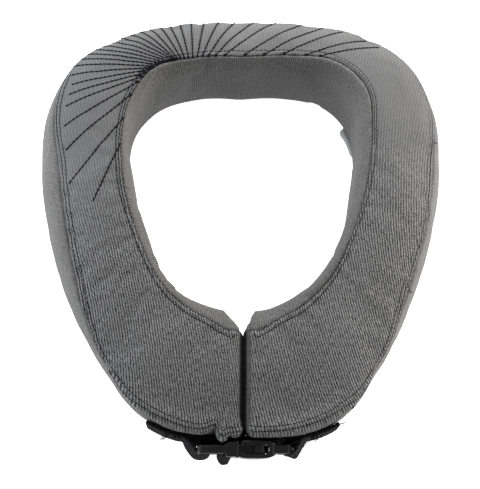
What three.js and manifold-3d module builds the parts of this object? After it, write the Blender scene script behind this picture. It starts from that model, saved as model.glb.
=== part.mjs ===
// Racing neck collar: a foam ring with a slit at the front, in a sewn cloth cover,
// closed by two webbing straps and a side-release buckle.
// Millimetres, +Z up, resting on its base. The slit and the buckle face -Y.

import * as THREE from 'three';
import { mergeVertices } from 'three/addons/utils/BufferGeometryUtils.js';
import Module from 'manifold-3d';

const wasm = await Module();
wasm.setup();

// Driving dimensions

const CLOTH = 1.6; // thickness of the cover cloth
const GAP = 0.3; // clearance between neighbouring pieces
const CORE_GAP = 0.5; // clearance between the foam and its cover
const SLIT = 4; // width of the front slit, between the end panels
const END_RADIUS = 6; // rounding of the two ends beside the slit, along the ring
const END_FALL = 3.6; // how far that rounding draws the outline in
const NECK_NOTCH = 5; // how much further it draws the neck panel in
const CROWN = 3; // how far the top panel bulges above a straight line
const ROLL_HEIGHT = 15; // height of the neck panel's roll under the rim seam
const NECK_FOOT = { width: 8, height: 8 }; // rounding at the foot of the neck panel
const BELLY_SHARE = 0.55; // height of the widest line of the outer band, as a share of the seam's height

// Sections of the padded ring, by the angle from the front, about the middle of the neck opening.
// Radii: neck wall, rim seam, outer seam, widest line of the band, foot of the band. Heights end in _z.
const SECTION_COLUMNS = ['angle', 'neck', 'rim', 'rim_z', 'seam', 'seam_z', 'belly', 'foot'];
const SECTIONS = [
  [0, 78.5, 95, 55, 159, 36, 157, 146],
  [12, 76.5, 88.8, 56, 158, 36.3, 157, 146],
  [24, 74, 83.2, 57, 150.5, 37.2, 151.5, 142],
  [36, 70.5, 78.6, 58, 135.6, 39, 139.8, 131.5],
  [50, 66.5, 74.6, 59.5, 122.7, 42, 130, 122.5],
  [66, 64.5, 73.2, 61.2, 115.7, 45, 125, 117.5],
  [84, 66.5, 75.4, 62.6, 115.8, 47.5, 126.4, 119],
  [102, 73, 82, 63.4, 123.4, 48.5, 136, 128.5],
  [118, 85.5, 92.8, 64, 138.4, 49, 149.2, 141.5],
  [132, 97, 104.8, 64.6, 146.8, 49, 154.6, 147],
  [146, 101, 109, 65.2, 142.2, 49, 149.8, 142.5],
  [162, 96.5, 100.8, 65.8, 133.6, 49, 141, 133.5],
  [180, 92, 95.6, 66, 129.2, 49, 136.5, 129],
];

// How the right half differs from the left as sewn: added to its radii, and taken off on the left.
const UNEVEN_COLUMNS = ['angle', 'neck', 'rim', 'seam', 'belly'];
const UNEVEN = [
  [0, 0, 0, 0, 0],
  [34, -1.4, -0.6, 0, -0.4],
  [64, 1.2, 0.6, 1, -1],
  [90, 1, 1.8, 2.2, -0.3],
  [116, 0.8, 3.6, 1.4, 0.3],
  [132, 1.8, 6, 1.2, 0.8],
  [146, 2, 3.6, 1.6, 1.4],
  [166, 0.4, 0.8, 0.4, 0.4],
  [180, 0, 0, 0, 0],
];

// The fold in the lower corner of the left lobe, by the distance from the slit.
const FOLD_COLUMNS = ['along', 'out', 'drop'];
const FOLD = [
  [0, 0.6, 1.2],
  [8, 2, 2],
  [13, 0.6, 1.2],
  [18, -3.6, -0.6],
  [27, -0.6, 0],
  [38, 0, 0],
];

// Stations round one half of the ring: close together at the folded corner, then evenly spaced.
const FRONT_ANGLES = [0, 1.8, 3.6, 5.6, 8.5, 13];
const EVEN_FROM = 18;
const EVEN_STEP = 9;

const LEAN = 12; // degrees by which the straps and the buckle lean out at the top
const WEBBING = { width: 25, thickness: 1.7, standoff: 0.6 };
const BUCKLE = { length: 61.5, height: 31, thickness: 12, plane: -164.4, middle_z: 16.9 };
const LABEL = { angle: 129, length: 21, reach: 5, tucked: 2.6, thickness: 1, lift: 0.25 };

const TAIL_REACH = 178; // how far forward the loose strap end comes, from the middle of the neck opening
const BACK_REACH = SECTIONS.at(-1)[SECTION_COLUMNS.indexOf('belly')];
const NECK_CENTRE_Y = (TAIL_REACH - BACK_REACH) / 2; // puts the origin at the middle of the whole collar

// Materials

const cloth = new THREE.MeshStandardMaterial({ color: 0x6d6d6f, roughness: 0.95, metalness: 0 });
const ribbedCloth = new THREE.MeshStandardMaterial({ color: 0x68686a, roughness: 0.95, metalness: 0 });
const foam = new THREE.MeshStandardMaterial({ color: 0x3c3c3f, roughness: 1, metalness: 0 });
const webbingBlack = new THREE.MeshStandardMaterial({ color: 0x0e0e10, roughness: 0.85, metalness: 0 });
const buckleBlack = new THREE.MeshStandardMaterial({ color: 0x161718, roughness: 0.4, metalness: 0 });
const satin = new THREE.MeshStandardMaterial({ color: 0xcfd4d9, roughness: 0.6, metalness: 0 });

// Smooth values between the rows of a table

function lookUp(columns, rows, key) {
  const names = columns.slice(1);
  const last = rows.length - 1;
  let i = rows.findIndex((row) => row[0] > key) - 1;
  if (i < 0) i = key < rows[0][0] ? 0 : last - 1;
  const step = rows[i + 1][0] - rows[i][0];
  const t = THREE.MathUtils.clamp((key - rows[i][0]) / step, 0, 1);
  const slope = (row, c) =>
    row === 0 || row === last ? 0 : (rows[row + 1][c] - rows[row - 1][c]) / (rows[row + 1][0] - rows[row - 1][0]);
  const value = (c) => {
    const [a, b] = [rows[i][c], rows[i + 1][c]];
    const [da, db] = [slope(i, c) * step, slope(i + 1, c) * step];
    return a + t * (da + t * (3 * (b - a) - 2 * da - db + t * (2 * (a - b) + da + db)));
  };
  return Object.fromEntries(names.map((name, c) => [name, value(c + 1)]));
}

// Outline of one section, as points (r, z), clockwise from the rim seam

const TOP_STEPS = 5;
const BAND_STEPS = 3; // on each half of the band
const BASE_STEPS = 3;
const FOOT_STEPS = 2;
const ROLL_STEPS = 4;
const AT_RIM = 0;
const AT_SEAM = TOP_STEPS;
const AT_FOOT = AT_SEAM + 2 * BAND_STEPS;
const AT_NECK_FOOT = AT_FOOT + BASE_STEPS;

const halfSlit = SLIT / 2 + END_RADIUS + GAP;
const slitShare = (angle) => (1 + Math.cos(THREE.MathUtils.degToRad(angle))) / 2;

function sectionAt(angle, side) {
  const s = lookUp(SECTION_COLUMNS, SECTIONS, angle);
  const uneven = lookUp(UNEVEN_COLUMNS, UNEVEN, angle);
  for (const name of ['neck', 'rim', 'seam', 'belly']) s[name] += side * uneven[name];
  s.foot += side * uneven.belly;
  if (side < 0 && angle < 90) {
    const along = halfSlit + s.seam * Math.sin(THREE.MathUtils.degToRad(angle));
    const fold = lookUp(FOLD_COLUMNS, FOLD, along);
    s.seam += fold.out;
    s.seam_z -= fold.drop;
  }
  s.belly_z = s.seam_z * BELLY_SHARE;
  return s;
}

function quadratic(a, control, b, steps) {
  const curve = new THREE.QuadraticBezierCurve(a, control, b);
  return curve.getPoints(steps).slice(0, -1);
}

function quarterEllipse(centre, cosine, sine, steps) {
  const points = [];
  for (let i = 0; i < steps; i++) {
    const t = (Math.PI / 2) * (i / steps);
    points.push(new THREE.Vector2(centre.x + cosine.x * Math.cos(t) + sine.x * Math.sin(t),
      centre.y + cosine.y * Math.cos(t) + sine.y * Math.sin(t)));
  }
  return points;
}

function outline(s) {
  const v = (r, z) => new THREE.Vector2(r, z);
  const [rim, seam, belly] = [v(s.rim, s.rim_z), v(s.seam, s.seam_z), v(s.belly, s.belly_z)];
  const across = seam.clone().sub(rim);
  const up = v(-across.y, across.x).normalize();
  const crown = rim.clone().lerp(seam, 0.5).addScaledVector(up, 2 * CROWN);
  const shoulder = v(s.seam + 0.75 * (s.belly - s.seam), s.seam_z - 0.1 * (s.seam_z - s.belly_z));
  const neckFoot = v(s.neck + NECK_FOOT.width, 0);
  const base = Array.from({ length: BASE_STEPS }, (_, i) => v(s.foot, 0).lerp(neckFoot, i / BASE_STEPS));
  return [
    ...quadratic(rim, crown, seam, TOP_STEPS),
    ...quadratic(seam, shoulder, belly, BAND_STEPS),
    ...quarterEllipse(v(s.foot, s.belly_z), v(s.belly - s.foot, 0), v(0, -s.belly_z), BAND_STEPS),
    ...base,
    ...quarterEllipse(v(neckFoot.x, NECK_FOOT.height), v(0, -NECK_FOOT.height), v(-NECK_FOOT.width, 0), FOOT_STEPS),
    v(s.neck, NECK_FOOT.height),
    ...quarterEllipse(v(s.rim, s.rim_z - ROLL_HEIGHT), v(s.neck - s.rim, 0), v(0, ROLL_HEIGHT), ROLL_STEPS),
  ];
}

// The same outline, moved inwards by a distance
function inset(points, distance) {
  const n = points.length;
  const normal = (a, b) => new THREE.Vector2(b.y - a.y, a.x - b.x).normalize();
  return points.map((p, i) => {
    const before = normal(points[(i + n - 1) % n], p);
    const after = normal(p, points[(i + 1) % n]);
    const mean = before.clone().add(after).normalize();
    return p.clone().addScaledVector(mean, distance / mean.dot(after));
  });
}

// Places of the sections

function place(points, angle, side, offset) {
  const t = THREE.MathUtils.degToRad(angle);
  return points.map((p) => new THREE.Vector3(side * (offset + p.x * Math.sin(t)), -p.x * Math.cos(t), p.y));
}

const halfAngles = [...FRONT_ANGLES];
for (let a = EVEN_FROM; a <= 180; a += EVEN_STEP) halfAngles.push(a);

// From the left end, round the back, to the right end
const stations = [
  ...halfAngles.map((angle) => ({ angle, side: -1 })),
  ...halfAngles.slice(0, -1).reverse().map((angle) => ({ angle, side: 1 })),
];

function ring({ angle, side }, depth) {
  const points = inset(outline(sectionAt(angle, side)), depth);
  return place(points, angle, side, halfSlit * slitShare(angle));
}

// Rings over a rounded end, from its start to its flat face, inside the cover by a depth
const END_STEPS = 3;

function endRings(side, depth) {
  const radius = END_RADIUS - depth;
  const fall = END_FALL * (radius / END_RADIUS);
  return Array.from({ length: END_STEPS + 1 }, (_, i) => {
    const t = (Math.PI / 2) * (i / END_STEPS);
    const s = sectionAt(0, side);
    const points = inset(outline(s), depth + fall * (1 - Math.cos(t)));
    for (const p of points) {
      const nearNeck = THREE.MathUtils.clamp((s.rim - p.x) / (s.rim - s.neck), 0, 1);
      p.x += NECK_NOTCH * nearNeck * (1 - Math.cos(t));
    }
    return place(points, 0, side, SLIT / 2 + depth + radius * (1 - Math.sin(t)));
  });
}

// Closed solids from rings of points, each quad split along its shorter diagonal

function solidGeometry(rings, capTriangles) {
  const count = rings[0].length;
  const points = rings.flat();
  const triangles = [];
  for (let j = 0; j + 1 < rings.length; j++) {
    for (let k = 0; k < count; k++) {
      const [a, b] = [j * count + k, j * count + ((k + 1) % count)];
      const [c, d] = [a + count, b + count];
      const short = points[a].distanceTo(points[d]) < points[b].distanceTo(points[c]);
      triangles.push(...(short ? [[a, b, d], [a, d, c]] : [[a, b, c], [b, d, c]]));
    }
  }
  capTriangles(points, triangles, count, (rings.length - 1) * count);
  return facingOut(points, triangles);
}

function facingOut(points, triangles) {
  const volume = triangles.reduce(
    (sum, [a, b, c]) => sum + points[a].dot(new THREE.Vector3().crossVectors(points[b], points[c])), 0);
  const turned = volume < 0 ? triangles.map(([a, b, c]) => [a, c, b]) : triangles;
  const geometry = new THREE.BufferGeometry().setFromPoints(points);
  geometry.setIndex(turned.flat());
  geometry.computeVertexNormals();
  return geometry;
}

// Ends closed by a fan from the middle of the ring
function fanCaps(points, triangles, count, last) {
  for (const [start, turn] of [[0, false], [last, true]]) {
    const middle = new THREE.Vector3();
    for (let k = 0; k < count; k++) middle.addScaledVector(points[start + k], 1 / count);
    const hub = points.push(middle) - 1;
    for (let k = 0; k < count; k++) {
      const [a, b] = [start + k, start + ((k + 1) % count)];
      triangles.push(turn ? [hub, a, b] : [hub, b, a]);
    }
  }
}

// Ends of a wall, whose ring runs along one face and back along the other
function wallCaps(points, triangles, count, last) {
  for (const [start, turn] of [[0, false], [last, true]]) {
    for (let k = 0; k + 1 < count / 2; k++) {
      const quad = [k, k + 1, count - 2 - k, count - 1 - k].map((i) => start + i);
      const [a, b, c, d] = turn ? quad : quad.slice().reverse();
      triangles.push([a, b, c], [a, c, d]);
    }
  }
}

// Pieces of the padded ring

function foamCore() {
  const depth = CLOTH + CORE_GAP;
  const rings = [
    ...endRings(-1, depth).reverse(),
    ...stations.slice(1, -1).map((station) => ring(station, depth)),
    ...endRings(1, depth),
  ];
  return solidGeometry(rings, fanCaps);
}

// A cover panel between two seams of the outline, with its edges just clear of the next panels
function coverPanel(from, to) {
  const shorten = (edge) => {
    const [first, last] = [edge[0], edge.at(-1)];
    const pull = (p, next) => p.clone().addScaledVector(next.clone().sub(p).normalize(), GAP / 2);
    return [pull(first, edge[1]), ...edge.slice(1, -1), pull(last, edge.at(-2))];
  };
  const stretch = (points) => {
    const closed = [...points, points[0]];
    return shorten(closed.slice(from, to + 1));
  };
  const rings = stations.map((station) => [
    ...stretch(ring(station, 0)),
    ...stretch(ring(station, CLOTH)).reverse(),
  ]);
  return solidGeometry(rings, wallCaps);
}

function endPanel(side) {
  const rings = [...endRings(side, CLOTH).reverse(), ...endRings(side, 0)];
  return solidGeometry(rings, fanCaps);
}

// Webbing straps

// A band of webbing along a route of { x, y }, leaning out at the top, away from the neck
function webbing(route) {
  const half = WEBBING.thickness / 2;
  const tilt = THREE.MathUtils.degToRad(LEAN);
  const up = new THREE.Vector3(0, -Math.sin(tilt), Math.cos(tilt));
  const rings = route.map((p, i) => {
    const [a, b] = [route[Math.max(i - 1, 0)], route[Math.min(i + 1, route.length - 1)]];
    const along = new THREE.Vector3(b.x - a.x, b.y - a.y, 0).normalize();
    const across = new THREE.Vector3().crossVectors(up, along).normalize().multiplyScalar(half);
    const corner = (face, edge) =>
      new THREE.Vector3(p.x, p.y, BUCKLE.middle_z).addScaledVector(across, face)
        .addScaledVector(up, edge * WEBBING.width / 2);
    return [corner(1, 1), corner(1, -1), corner(-1, -1), corner(-1, 1)];
  });
  return solidGeometry(rings, wallCaps);
}

// The stretch sewn to the outer band, from its cut end to where it leaves the band
function sewnStretch(side, from, to) {
  const steps = 7;
  return Array.from({ length: steps }, (_, i) => {
    const angle = THREE.MathUtils.lerp(from, to, i / (steps - 1));
    const t = THREE.MathUtils.degToRad(angle);
    const r = sectionAt(angle, side).belly + WEBBING.standoff + WEBBING.thickness / 2;
    return { x: side * (halfSlit * slitShare(angle) + r * Math.sin(t)), y: -r * Math.cos(t) };
  });
}

// Turns round a bar of the buckle, in degrees from +X
function roundBar(bar, from, to) {
  const steps = 8;
  const radius = bar.radius + GAP + WEBBING.thickness / 2;
  return Array.from({ length: steps + 1 }, (_, i) => {
    const t = THREE.MathUtils.degToRad(THREE.MathUtils.lerp(from, to, i / steps));
    return { x: bar.x + radius * Math.cos(t), y: BUCKLE.plane + radius * Math.sin(t) };
  });
}

const ROUTE_STEPS = 44;

function smoothRoute(points) {
  const curve = new THREE.CatmullRomCurve3(points.map((p) => new THREE.Vector3(p.x, p.y, 0)));
  curve.curveType = 'centripetal';
  return curve.getSpacedPoints(ROUTE_STEPS);
}

const freePoint = (x, forward) => ({ x, y: BUCKLE.plane - forward });

// Passes in front of the plug's outer bar, back round its middle bar, and out to a loose end
function strapLeft() {
  const points = [
    ...sewnStretch(-1, 20, 11),
    freePoint(-35.4, -4.6),
    freePoint(-32.6, -0.4),
    freePoint(-30.6, 3.6),
    freePoint(-27, 4.9),
    freePoint(-22.9, 3.2),
    ...roundBar(PLUG_BAR, 180, 0),
    freePoint(-14.4, 3.2),
    freePoint(-12, 6.2),
    freePoint(-8.6, TAIL_REACH + BUCKLE.plane - 3.1),
  ];
  return webbing(smoothRoute(points));
}

// Passes in front of the socket's bar, round it, and back behind itself
function strapRight() {
  const points = [
    ...sewnStretch(1, 25, 17),
    freePoint(46.4, -6.6),
    freePoint(39.2, -1),
    freePoint(34.2, 2.4),
    ...roundBar(SOCKET_BAR, 270, 90),
    freePoint(33.6, -3.6),
    freePoint(37.2, -4.6),
  ];
  return webbing(smoothRoute(points));
}

// Buckle, about its own middle: X along it, -Y to the front, Z up

const SLOT_HALF = 13.4; // half the height of the strap slots
const PLUG_BAR = { x: -18, radius: 1.8 };
const SOCKET_BAR = { x: 30, radius: 2 };
const FRAME_THICKNESS = 5.5;
const MOUTH_X = -2.4; // where the plug's shoulder meets the socket
const ARM = { inner: 8.4, outer: 11.4, tip_x: 15.4, pad: 15, pad_x: 7.4, thickness: 5 };
const TONGUE = { half: 2.4, end: 16.5, thickness: 4.4 };
const CAVITY = { end: 17.4, half: 12, thickness: 6 };
const WINDOW = { half: 3.1, to: 17 }; // open at the mouth, round at its other end
const SOCKET_CROWN = [[-3, 5.2], [4, 6], [12, 5.9], [18, 5], [22, 2.8]]; // half thickness along the socket
const SHOULDER = { from: -11.4, lip: -5.2 };

function solidOf(geometry) {
  const bare = geometry.clone();
  bare.deleteAttribute('normal');
  bare.deleteAttribute('uv');
  const merged = mergeVertices(bare, 1e-4);
  return new wasm.Manifold(new wasm.Mesh({
    numProp: 3,
    vertProperties: merged.attributes.position.array,
    triVerts: new Uint32Array(merged.index.array),
  }));
}

function geometryOf(solid) {
  const mesh = solid.getMesh();
  const geometry = new THREE.BufferGeometry();
  geometry.setAttribute('position', new THREE.BufferAttribute(mesh.vertProperties, 3));
  geometry.setIndex(new THREE.BufferAttribute(mesh.triVerts, 1));
  geometry.computeVertexNormals();
  return geometry;
}

// A plate in the XZ plane, centred on Y, with softened edges
function plate(shape, thickness, edge) {
  const geometry = new THREE.ExtrudeGeometry(shape, {
    depth: thickness - 2 * edge,
    bevelEnabled: edge > 0,
    bevelThickness: edge,
    bevelSize: edge,
    bevelOffset: -edge,
    bevelSegments: 2,
    curveSegments: 4,
  });
  geometry.translate(0, 0, -(thickness - 2 * edge) / 2);
  geometry.rotateX(Math.PI / 2);
  return solidOf(geometry);
}

function roundedRectangle(x0, x1, half, corner) {
  const shape = new THREE.Shape();
  shape.moveTo(x0 + corner, -half);
  shape.lineTo(x1 - corner, -half).absarc(x1 - corner, corner - half, corner, -Math.PI / 2, 0);
  shape.lineTo(x1, half - corner).absarc(x1 - corner, half - corner, corner, 0, Math.PI / 2);
  shape.lineTo(x0 + corner, half).absarc(x0 + corner, half - corner, corner, Math.PI / 2, Math.PI);
  shape.lineTo(x0, corner - half).absarc(x0 + corner, corner - half, corner, Math.PI, 1.5 * Math.PI);
  return shape;
}

// A prism along Z, whose outline is drawn in XY
function prism(shape, z0, z1) {
  const geometry = new THREE.ExtrudeGeometry(shape, { depth: z1 - z0, bevelEnabled: false, curveSegments: 8 });
  return solidOf(geometry.translate(0, 0, z0));
}

function crowned(halfThickness, half) {
  const curve = new THREE.SplineCurve(halfThickness.map(([x, y]) => new THREE.Vector2(x, y)));
  const back = curve.getPoints(14);
  const front = back.map((p) => new THREE.Vector2(p.x, -p.y)).reverse();
  return prism(new THREE.Shape([...back, ...front]), -half, half);
}

function box(x0, x1, halfY, z0, z1) {
  const geometry = new THREE.BoxGeometry(x1 - x0, 2 * halfY, z1 - z0);
  return solidOf(geometry.translate((x0 + x1) / 2, 0, (z0 + z1) / 2));
}

function bar({ x, radius }, half) {
  const geometry = new THREE.CylinderGeometry(radius, radius, 2 * half, 14);
  return solidOf(geometry.rotateX(Math.PI / 2).translate(x, 0, 0));
}

// One spring arm, with the pad that shows in the socket's window
function springArm(sign) {
  const { inner, outer, tip_x, pad, pad_x } = ARM;
  const shape = new THREE.Shape();
  const root = MOUTH_X - 2;
  shape.moveTo(root, sign * inner);
  shape.lineTo(tip_x - 2, sign * inner);
  shape.quadraticCurveTo(tip_x, sign * inner, tip_x, sign * (inner + 2));
  shape.quadraticCurveTo(tip_x - 0.6, sign * pad, tip_x - 5, sign * pad);
  shape.lineTo(pad_x, sign * (pad - 0.6));
  shape.lineTo(pad_x - 0.8, sign * outer);
  shape.lineTo(root, sign * outer);
  shape.closePath();
  return plate(shape, ARM.thickness, 0);
}

function bucklePlug() {
  const { length, height, thickness } = BUCKLE;
  const left = MOUTH_X - 0.44 * length;
  const frame = plate(roundedRectangle(left, MOUTH_X - 2, height / 2, 4), FRAME_THICKNESS, 0.8)
    .subtract(box(left + 4.6, -11.2, FRAME_THICKNESS, -SLOT_HALF, SLOT_HALF));
  const shoulder = plate(roundedRectangle(SHOULDER.from, SHOULDER.lip + 1, height / 2, 2), thickness - 2, 1.4);
  const lip = plate(roundedRectangle(SHOULDER.lip, MOUTH_X, height / 2 + 0.5, 1.3), thickness - 1, 1.2);
  const tongue = box(MOUTH_X - 2, TONGUE.end, TONGUE.thickness / 2, -TONGUE.half, TONGUE.half);
  const solid = frame.add(bar(PLUG_BAR, SLOT_HALF + 0.6)).add(shoulder).add(lip).add(tongue)
    .add(springArm(1)).add(springArm(-1));
  return geometryOf(solid);
}

function buckleSocket() {
  const { height, thickness } = BUCKLE;
  const mouth = MOUTH_X + GAP;
  const bodyEnd = 21;
  const right = SOCKET_BAR.x;
  const body = plate(roundedRectangle(mouth, bodyEnd, height / 2 + 0.5, 3), thickness, 1.4)
    .intersect(crowned(SOCKET_CROWN, height));
  const loop = plate(roundedRectangle(bodyEnd - 3, right, height / 2, 1.5), FRAME_THICKNESS, 0.8)
    .subtract(box(bodyEnd + 1.6, right + 1, FRAME_THICKNESS, -SLOT_HALF, SLOT_HALF));
  let solid = body.subtract(box(mouth - 1, CAVITY.end, CAVITY.thickness / 2, -CAVITY.half, CAVITY.half));
  const opening = new THREE.Shape();
  opening.moveTo(mouth - 1, -WINDOW.half);
  opening.lineTo(WINDOW.to - WINDOW.half, -WINDOW.half);
  opening.absarc(WINDOW.to - WINDOW.half, 0, WINDOW.half, -Math.PI / 2, Math.PI / 2);
  opening.lineTo(mouth - 1, WINDOW.half);
  solid = solid.subtract(prism(opening, CAVITY.half - 1, height));
  solid = solid.subtract(prism(opening, -height, 1 - CAVITY.half));
  solid = solid.add(loop).add(bar(SOCKET_BAR, height / 2 - 0.4));
  return geometryOf(solid);
}

// A blank folded label that shows under the foot of the neck panel
function labelTab() {
  const { angle, length, reach, tucked, thickness, lift } = LABEL;
  const steps = 6;
  const rings = Array.from({ length: steps + 1 }, (_, i) => {
    const r0 = sectionAt(angle, 1).neck;
    const a = angle + THREE.MathUtils.radToDeg(length / r0) * (i / steps - 0.5);
    const r = sectionAt(a, 1).neck;
    const v = (dr, z) => new THREE.Vector2(r + dr, z);
    const fold = [v(-reach + 0.3, lift), v(tucked, lift), v(tucked, lift + thickness), v(-reach + 0.3, lift + thickness),
      v(-reach, lift + thickness / 2)];
    return place(fold, a, 1, halfSlit * slitShare(a));
  });
  return solidGeometry(rings, fanCaps);
}

// The collar

function piece(name, geometry, material) {
  const mesh = new THREE.Mesh(geometry, material);
  mesh.name = name;
  return mesh;
}

const AROUND = AT_NECK_FOOT + FOOT_STEPS + 1 + ROLL_STEPS; // back at the rim seam

const padding = new THREE.Group().add(
  piece('foam_core', foamCore(), foam),
  piece('top_panel', coverPanel(AT_RIM, AT_SEAM), ribbedCloth),
  piece('outer_band', coverPanel(AT_SEAM, AT_FOOT), cloth),
  piece('base_panel', coverPanel(AT_FOOT, AT_NECK_FOOT), cloth),
  piece('neck_panel', coverPanel(AT_NECK_FOOT, AROUND), cloth),
  piece('end_panel_left', endPanel(-1), cloth),
  piece('end_panel_right', endPanel(1), cloth),
  piece('label_tab', labelTab(), satin),
);

const straps = new THREE.Group().add(
  piece('strap_left', strapLeft(), webbingBlack),
  piece('strap_right', strapRight(), webbingBlack),
);

const buckle = new THREE.Group().add(
  piece('buckle_plug', bucklePlug(), buckleBlack),
  piece('buckle_socket', buckleSocket(), buckleBlack),
);
buckle.position.set(0, BUCKLE.plane, BUCKLE.middle_z);
buckle.rotation.x = THREE.MathUtils.degToRad(LEAN);

const aboutNeck = new THREE.Group().add(padding, straps, buckle);
aboutNeck.position.y = NECK_CENTRE_Y;

const collar = new THREE.Group().add(aboutNeck);

export default collar;
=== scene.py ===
"""A racing neck collar: padded ring, sewn cover, black stitching, webbing straps and buckle."""

import functools
import math

import bmesh
import bpy
import numpy as np
from bpy.props import FloatProperty, FloatVectorProperty, PointerProperty
from mathutils import Matrix, Vector
from mathutils.bvhtree import BVHTree


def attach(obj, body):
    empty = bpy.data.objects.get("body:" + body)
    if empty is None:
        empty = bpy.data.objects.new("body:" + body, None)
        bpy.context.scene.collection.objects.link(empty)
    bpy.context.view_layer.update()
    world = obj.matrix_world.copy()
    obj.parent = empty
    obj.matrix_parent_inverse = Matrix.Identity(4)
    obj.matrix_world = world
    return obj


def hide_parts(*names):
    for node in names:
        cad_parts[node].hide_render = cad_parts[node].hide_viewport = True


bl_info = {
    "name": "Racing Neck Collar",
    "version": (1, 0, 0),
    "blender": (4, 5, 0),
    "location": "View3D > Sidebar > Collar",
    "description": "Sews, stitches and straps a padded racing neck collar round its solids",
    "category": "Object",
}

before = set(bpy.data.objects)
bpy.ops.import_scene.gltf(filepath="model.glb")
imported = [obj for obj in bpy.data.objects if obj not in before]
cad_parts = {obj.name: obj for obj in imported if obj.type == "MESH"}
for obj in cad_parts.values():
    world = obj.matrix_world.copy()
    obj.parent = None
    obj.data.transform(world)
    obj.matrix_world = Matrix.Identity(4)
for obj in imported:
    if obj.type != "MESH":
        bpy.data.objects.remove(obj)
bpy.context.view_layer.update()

MM = 0.001

# Sizes of the padded ring, in millimetres, about the middle of the neck opening

SLIT = 4.0
END_RADIUS = 6.0
END_FALL = 3.6
CROWN = 3.0
ROLL_HEIGHT = 15.0
NECK_FOOT = 8.0
BELLY_SHARE = 0.55
SHOULDER_OUT = 0.75
SHOULDER_DROP = 0.1
PANEL_GAP = 0.3
HALF_SLIT = SLIT / 2 + END_RADIUS + PANEL_GAP
NECK_CENTRE_Y = 20.75

# Angle from the front, then radii of the neck wall, rim seam, outer seam, widest line and foot, and heights
# Columns: angle, neck, rim, rim_z, seam, seam_z, belly, foot
SECTIONS = [
    (0, 78.5, 95, 55, 159, 36, 157, 146),
    (12, 76.5, 88.8, 56, 158, 36.3, 157, 146),
    (24, 74, 83.2, 57, 150.5, 37.2, 151.5, 142),
    (36, 70.5, 78.6, 58, 135.6, 39, 139.8, 131.5),
    (50, 66.5, 74.6, 59.5, 122.7, 42, 130, 122.5),
    (66, 64.5, 73.2, 61.2, 115.7, 45, 125, 117.5),
    (84, 66.5, 75.4, 62.6, 115.8, 47.5, 126.4, 119),
    (102, 73, 82, 63.4, 123.4, 48.5, 136, 128.5),
    (118, 85.5, 92.8, 64, 138.4, 49, 149.2, 141.5),
    (132, 97, 104.8, 64.6, 146.8, 49, 154.6, 147),
    (146, 101, 109, 65.2, 142.2, 49, 149.8, 142.5),
    (162, 96.5, 100.8, 65.8, 133.6, 49, 141, 133.5),
    (180, 92, 95.6, 66, 129.2, 49, 136.5, 129),
]

# Added to the right half's radii and taken off the left's. Columns: angle, neck, rim, seam, belly
UNEVEN = [
    (0, 0, 0, 0, 0),
    (34, -1.4, -0.6, 0, -0.4),
    (64, 1.2, 0.6, 1, -1),
    (90, 1, 1.8, 2.2, -0.3),
    (116, 0.8, 3.6, 1.4, 0.3),
    (132, 1.8, 6, 1.2, 0.8),
    (146, 2, 3.6, 1.6, 1.4),
    (166, 0.4, 0.8, 0.4, 0.4),
    (180, 0, 0, 0, 0),
]

# The folded corner of the left lobe. Columns: distance from the slit, out, drop
FOLD = [
    (0, 0.6, 1.2),
    (5, 1.6, 1.8),
    (9, 0.2, 1.2),
    (14, 2.2, 2),
    (18.5, -3.6, -0.6),
    (27, -0.6, 0),
    (38, 0, 0),
]

# The neck wall falls back beside the slit: by side, how far at the slit and where that starts
NOTCH = {-1: (12.0, 13.0), 1: (9.0, HALF_SLIT)}

# How far the outer seam lies past the shoulder line. Columns: turn from the left front, distance
SEAM_SHIFT = [
    (0, 0),
    (16, 0.5),
    (24, 2.2),
    (31, 5),
    (38, 7),
    (47, 5.5),
    (57, 3),
    (68, 1.2),
    (84, 0.6),
    (100, 1.5),
    (113, 3.5),
    (126, 7),
    (150, 9),
    (180, 9),
    (215, 9),
    (238, 7),
    (255, 4.5),
    (275, 3),
    (300, 2.4),
    (312, 4.5),
    (322, 6.5),
    (330, 4.5),
    (340, 1.2),
    (360, 0),
]

# How far the rim seam lies down the roll towards the neck. Columns: turn from the left front, distance
RIM_SHIFT = [
    (0, 0),
    (4, 1.4),
    (8, 2),
    (17, 1.3),
    (29, 0.8),
    (40, 1.6),
    (50, 2.2),
    (68, 2.8),
    (90, 1.6),
    (115, 1),
    (135, 0),
    (225, 0),
    (245, 1.5),
    (270, 2.4),
    (295, 2.2),
    (312, 0.2),
    (339, 0.1),
    (350, 2.2),
    (355, 1.6),
    (360, 0),
]

# How far the top panel's edge rolls out over the straps. Columns: turn from the left front, reach
FRONT_ROLL = [
    (0, 2.4),
    (8, 2.4),
    (18, 3),
    (28, 1.8),
    (36, 0.3),
    (46, 0),
    (314, 0),
    (324, 0.3),
    (333, 2.2),
    (345, 3.6),
    (360, 3),
]

# How far the outer band swells under the sewn straps. Columns: turn from the left front, reach
STRAP_SWELL = [
    (0, 0),
    (8, 0.3),
    (13, 1.2),
    (20, 1.2),
    (26, 0.6),
    (34, 0),
    (326, 0),
    (335, 1.5),
    (341, 2.6),
    (348, 1.5),
    (355, 0),
    (360, 0),
]

# The rounded front corner of the right lobe. Columns: distance from the middle of the slit, out
RIGHT_CORNER = [
    (1, -3.4),
    (3, -2.2),
    (5.5, -0.8),
    (9, 0),
    (12, 0),
]

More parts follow.
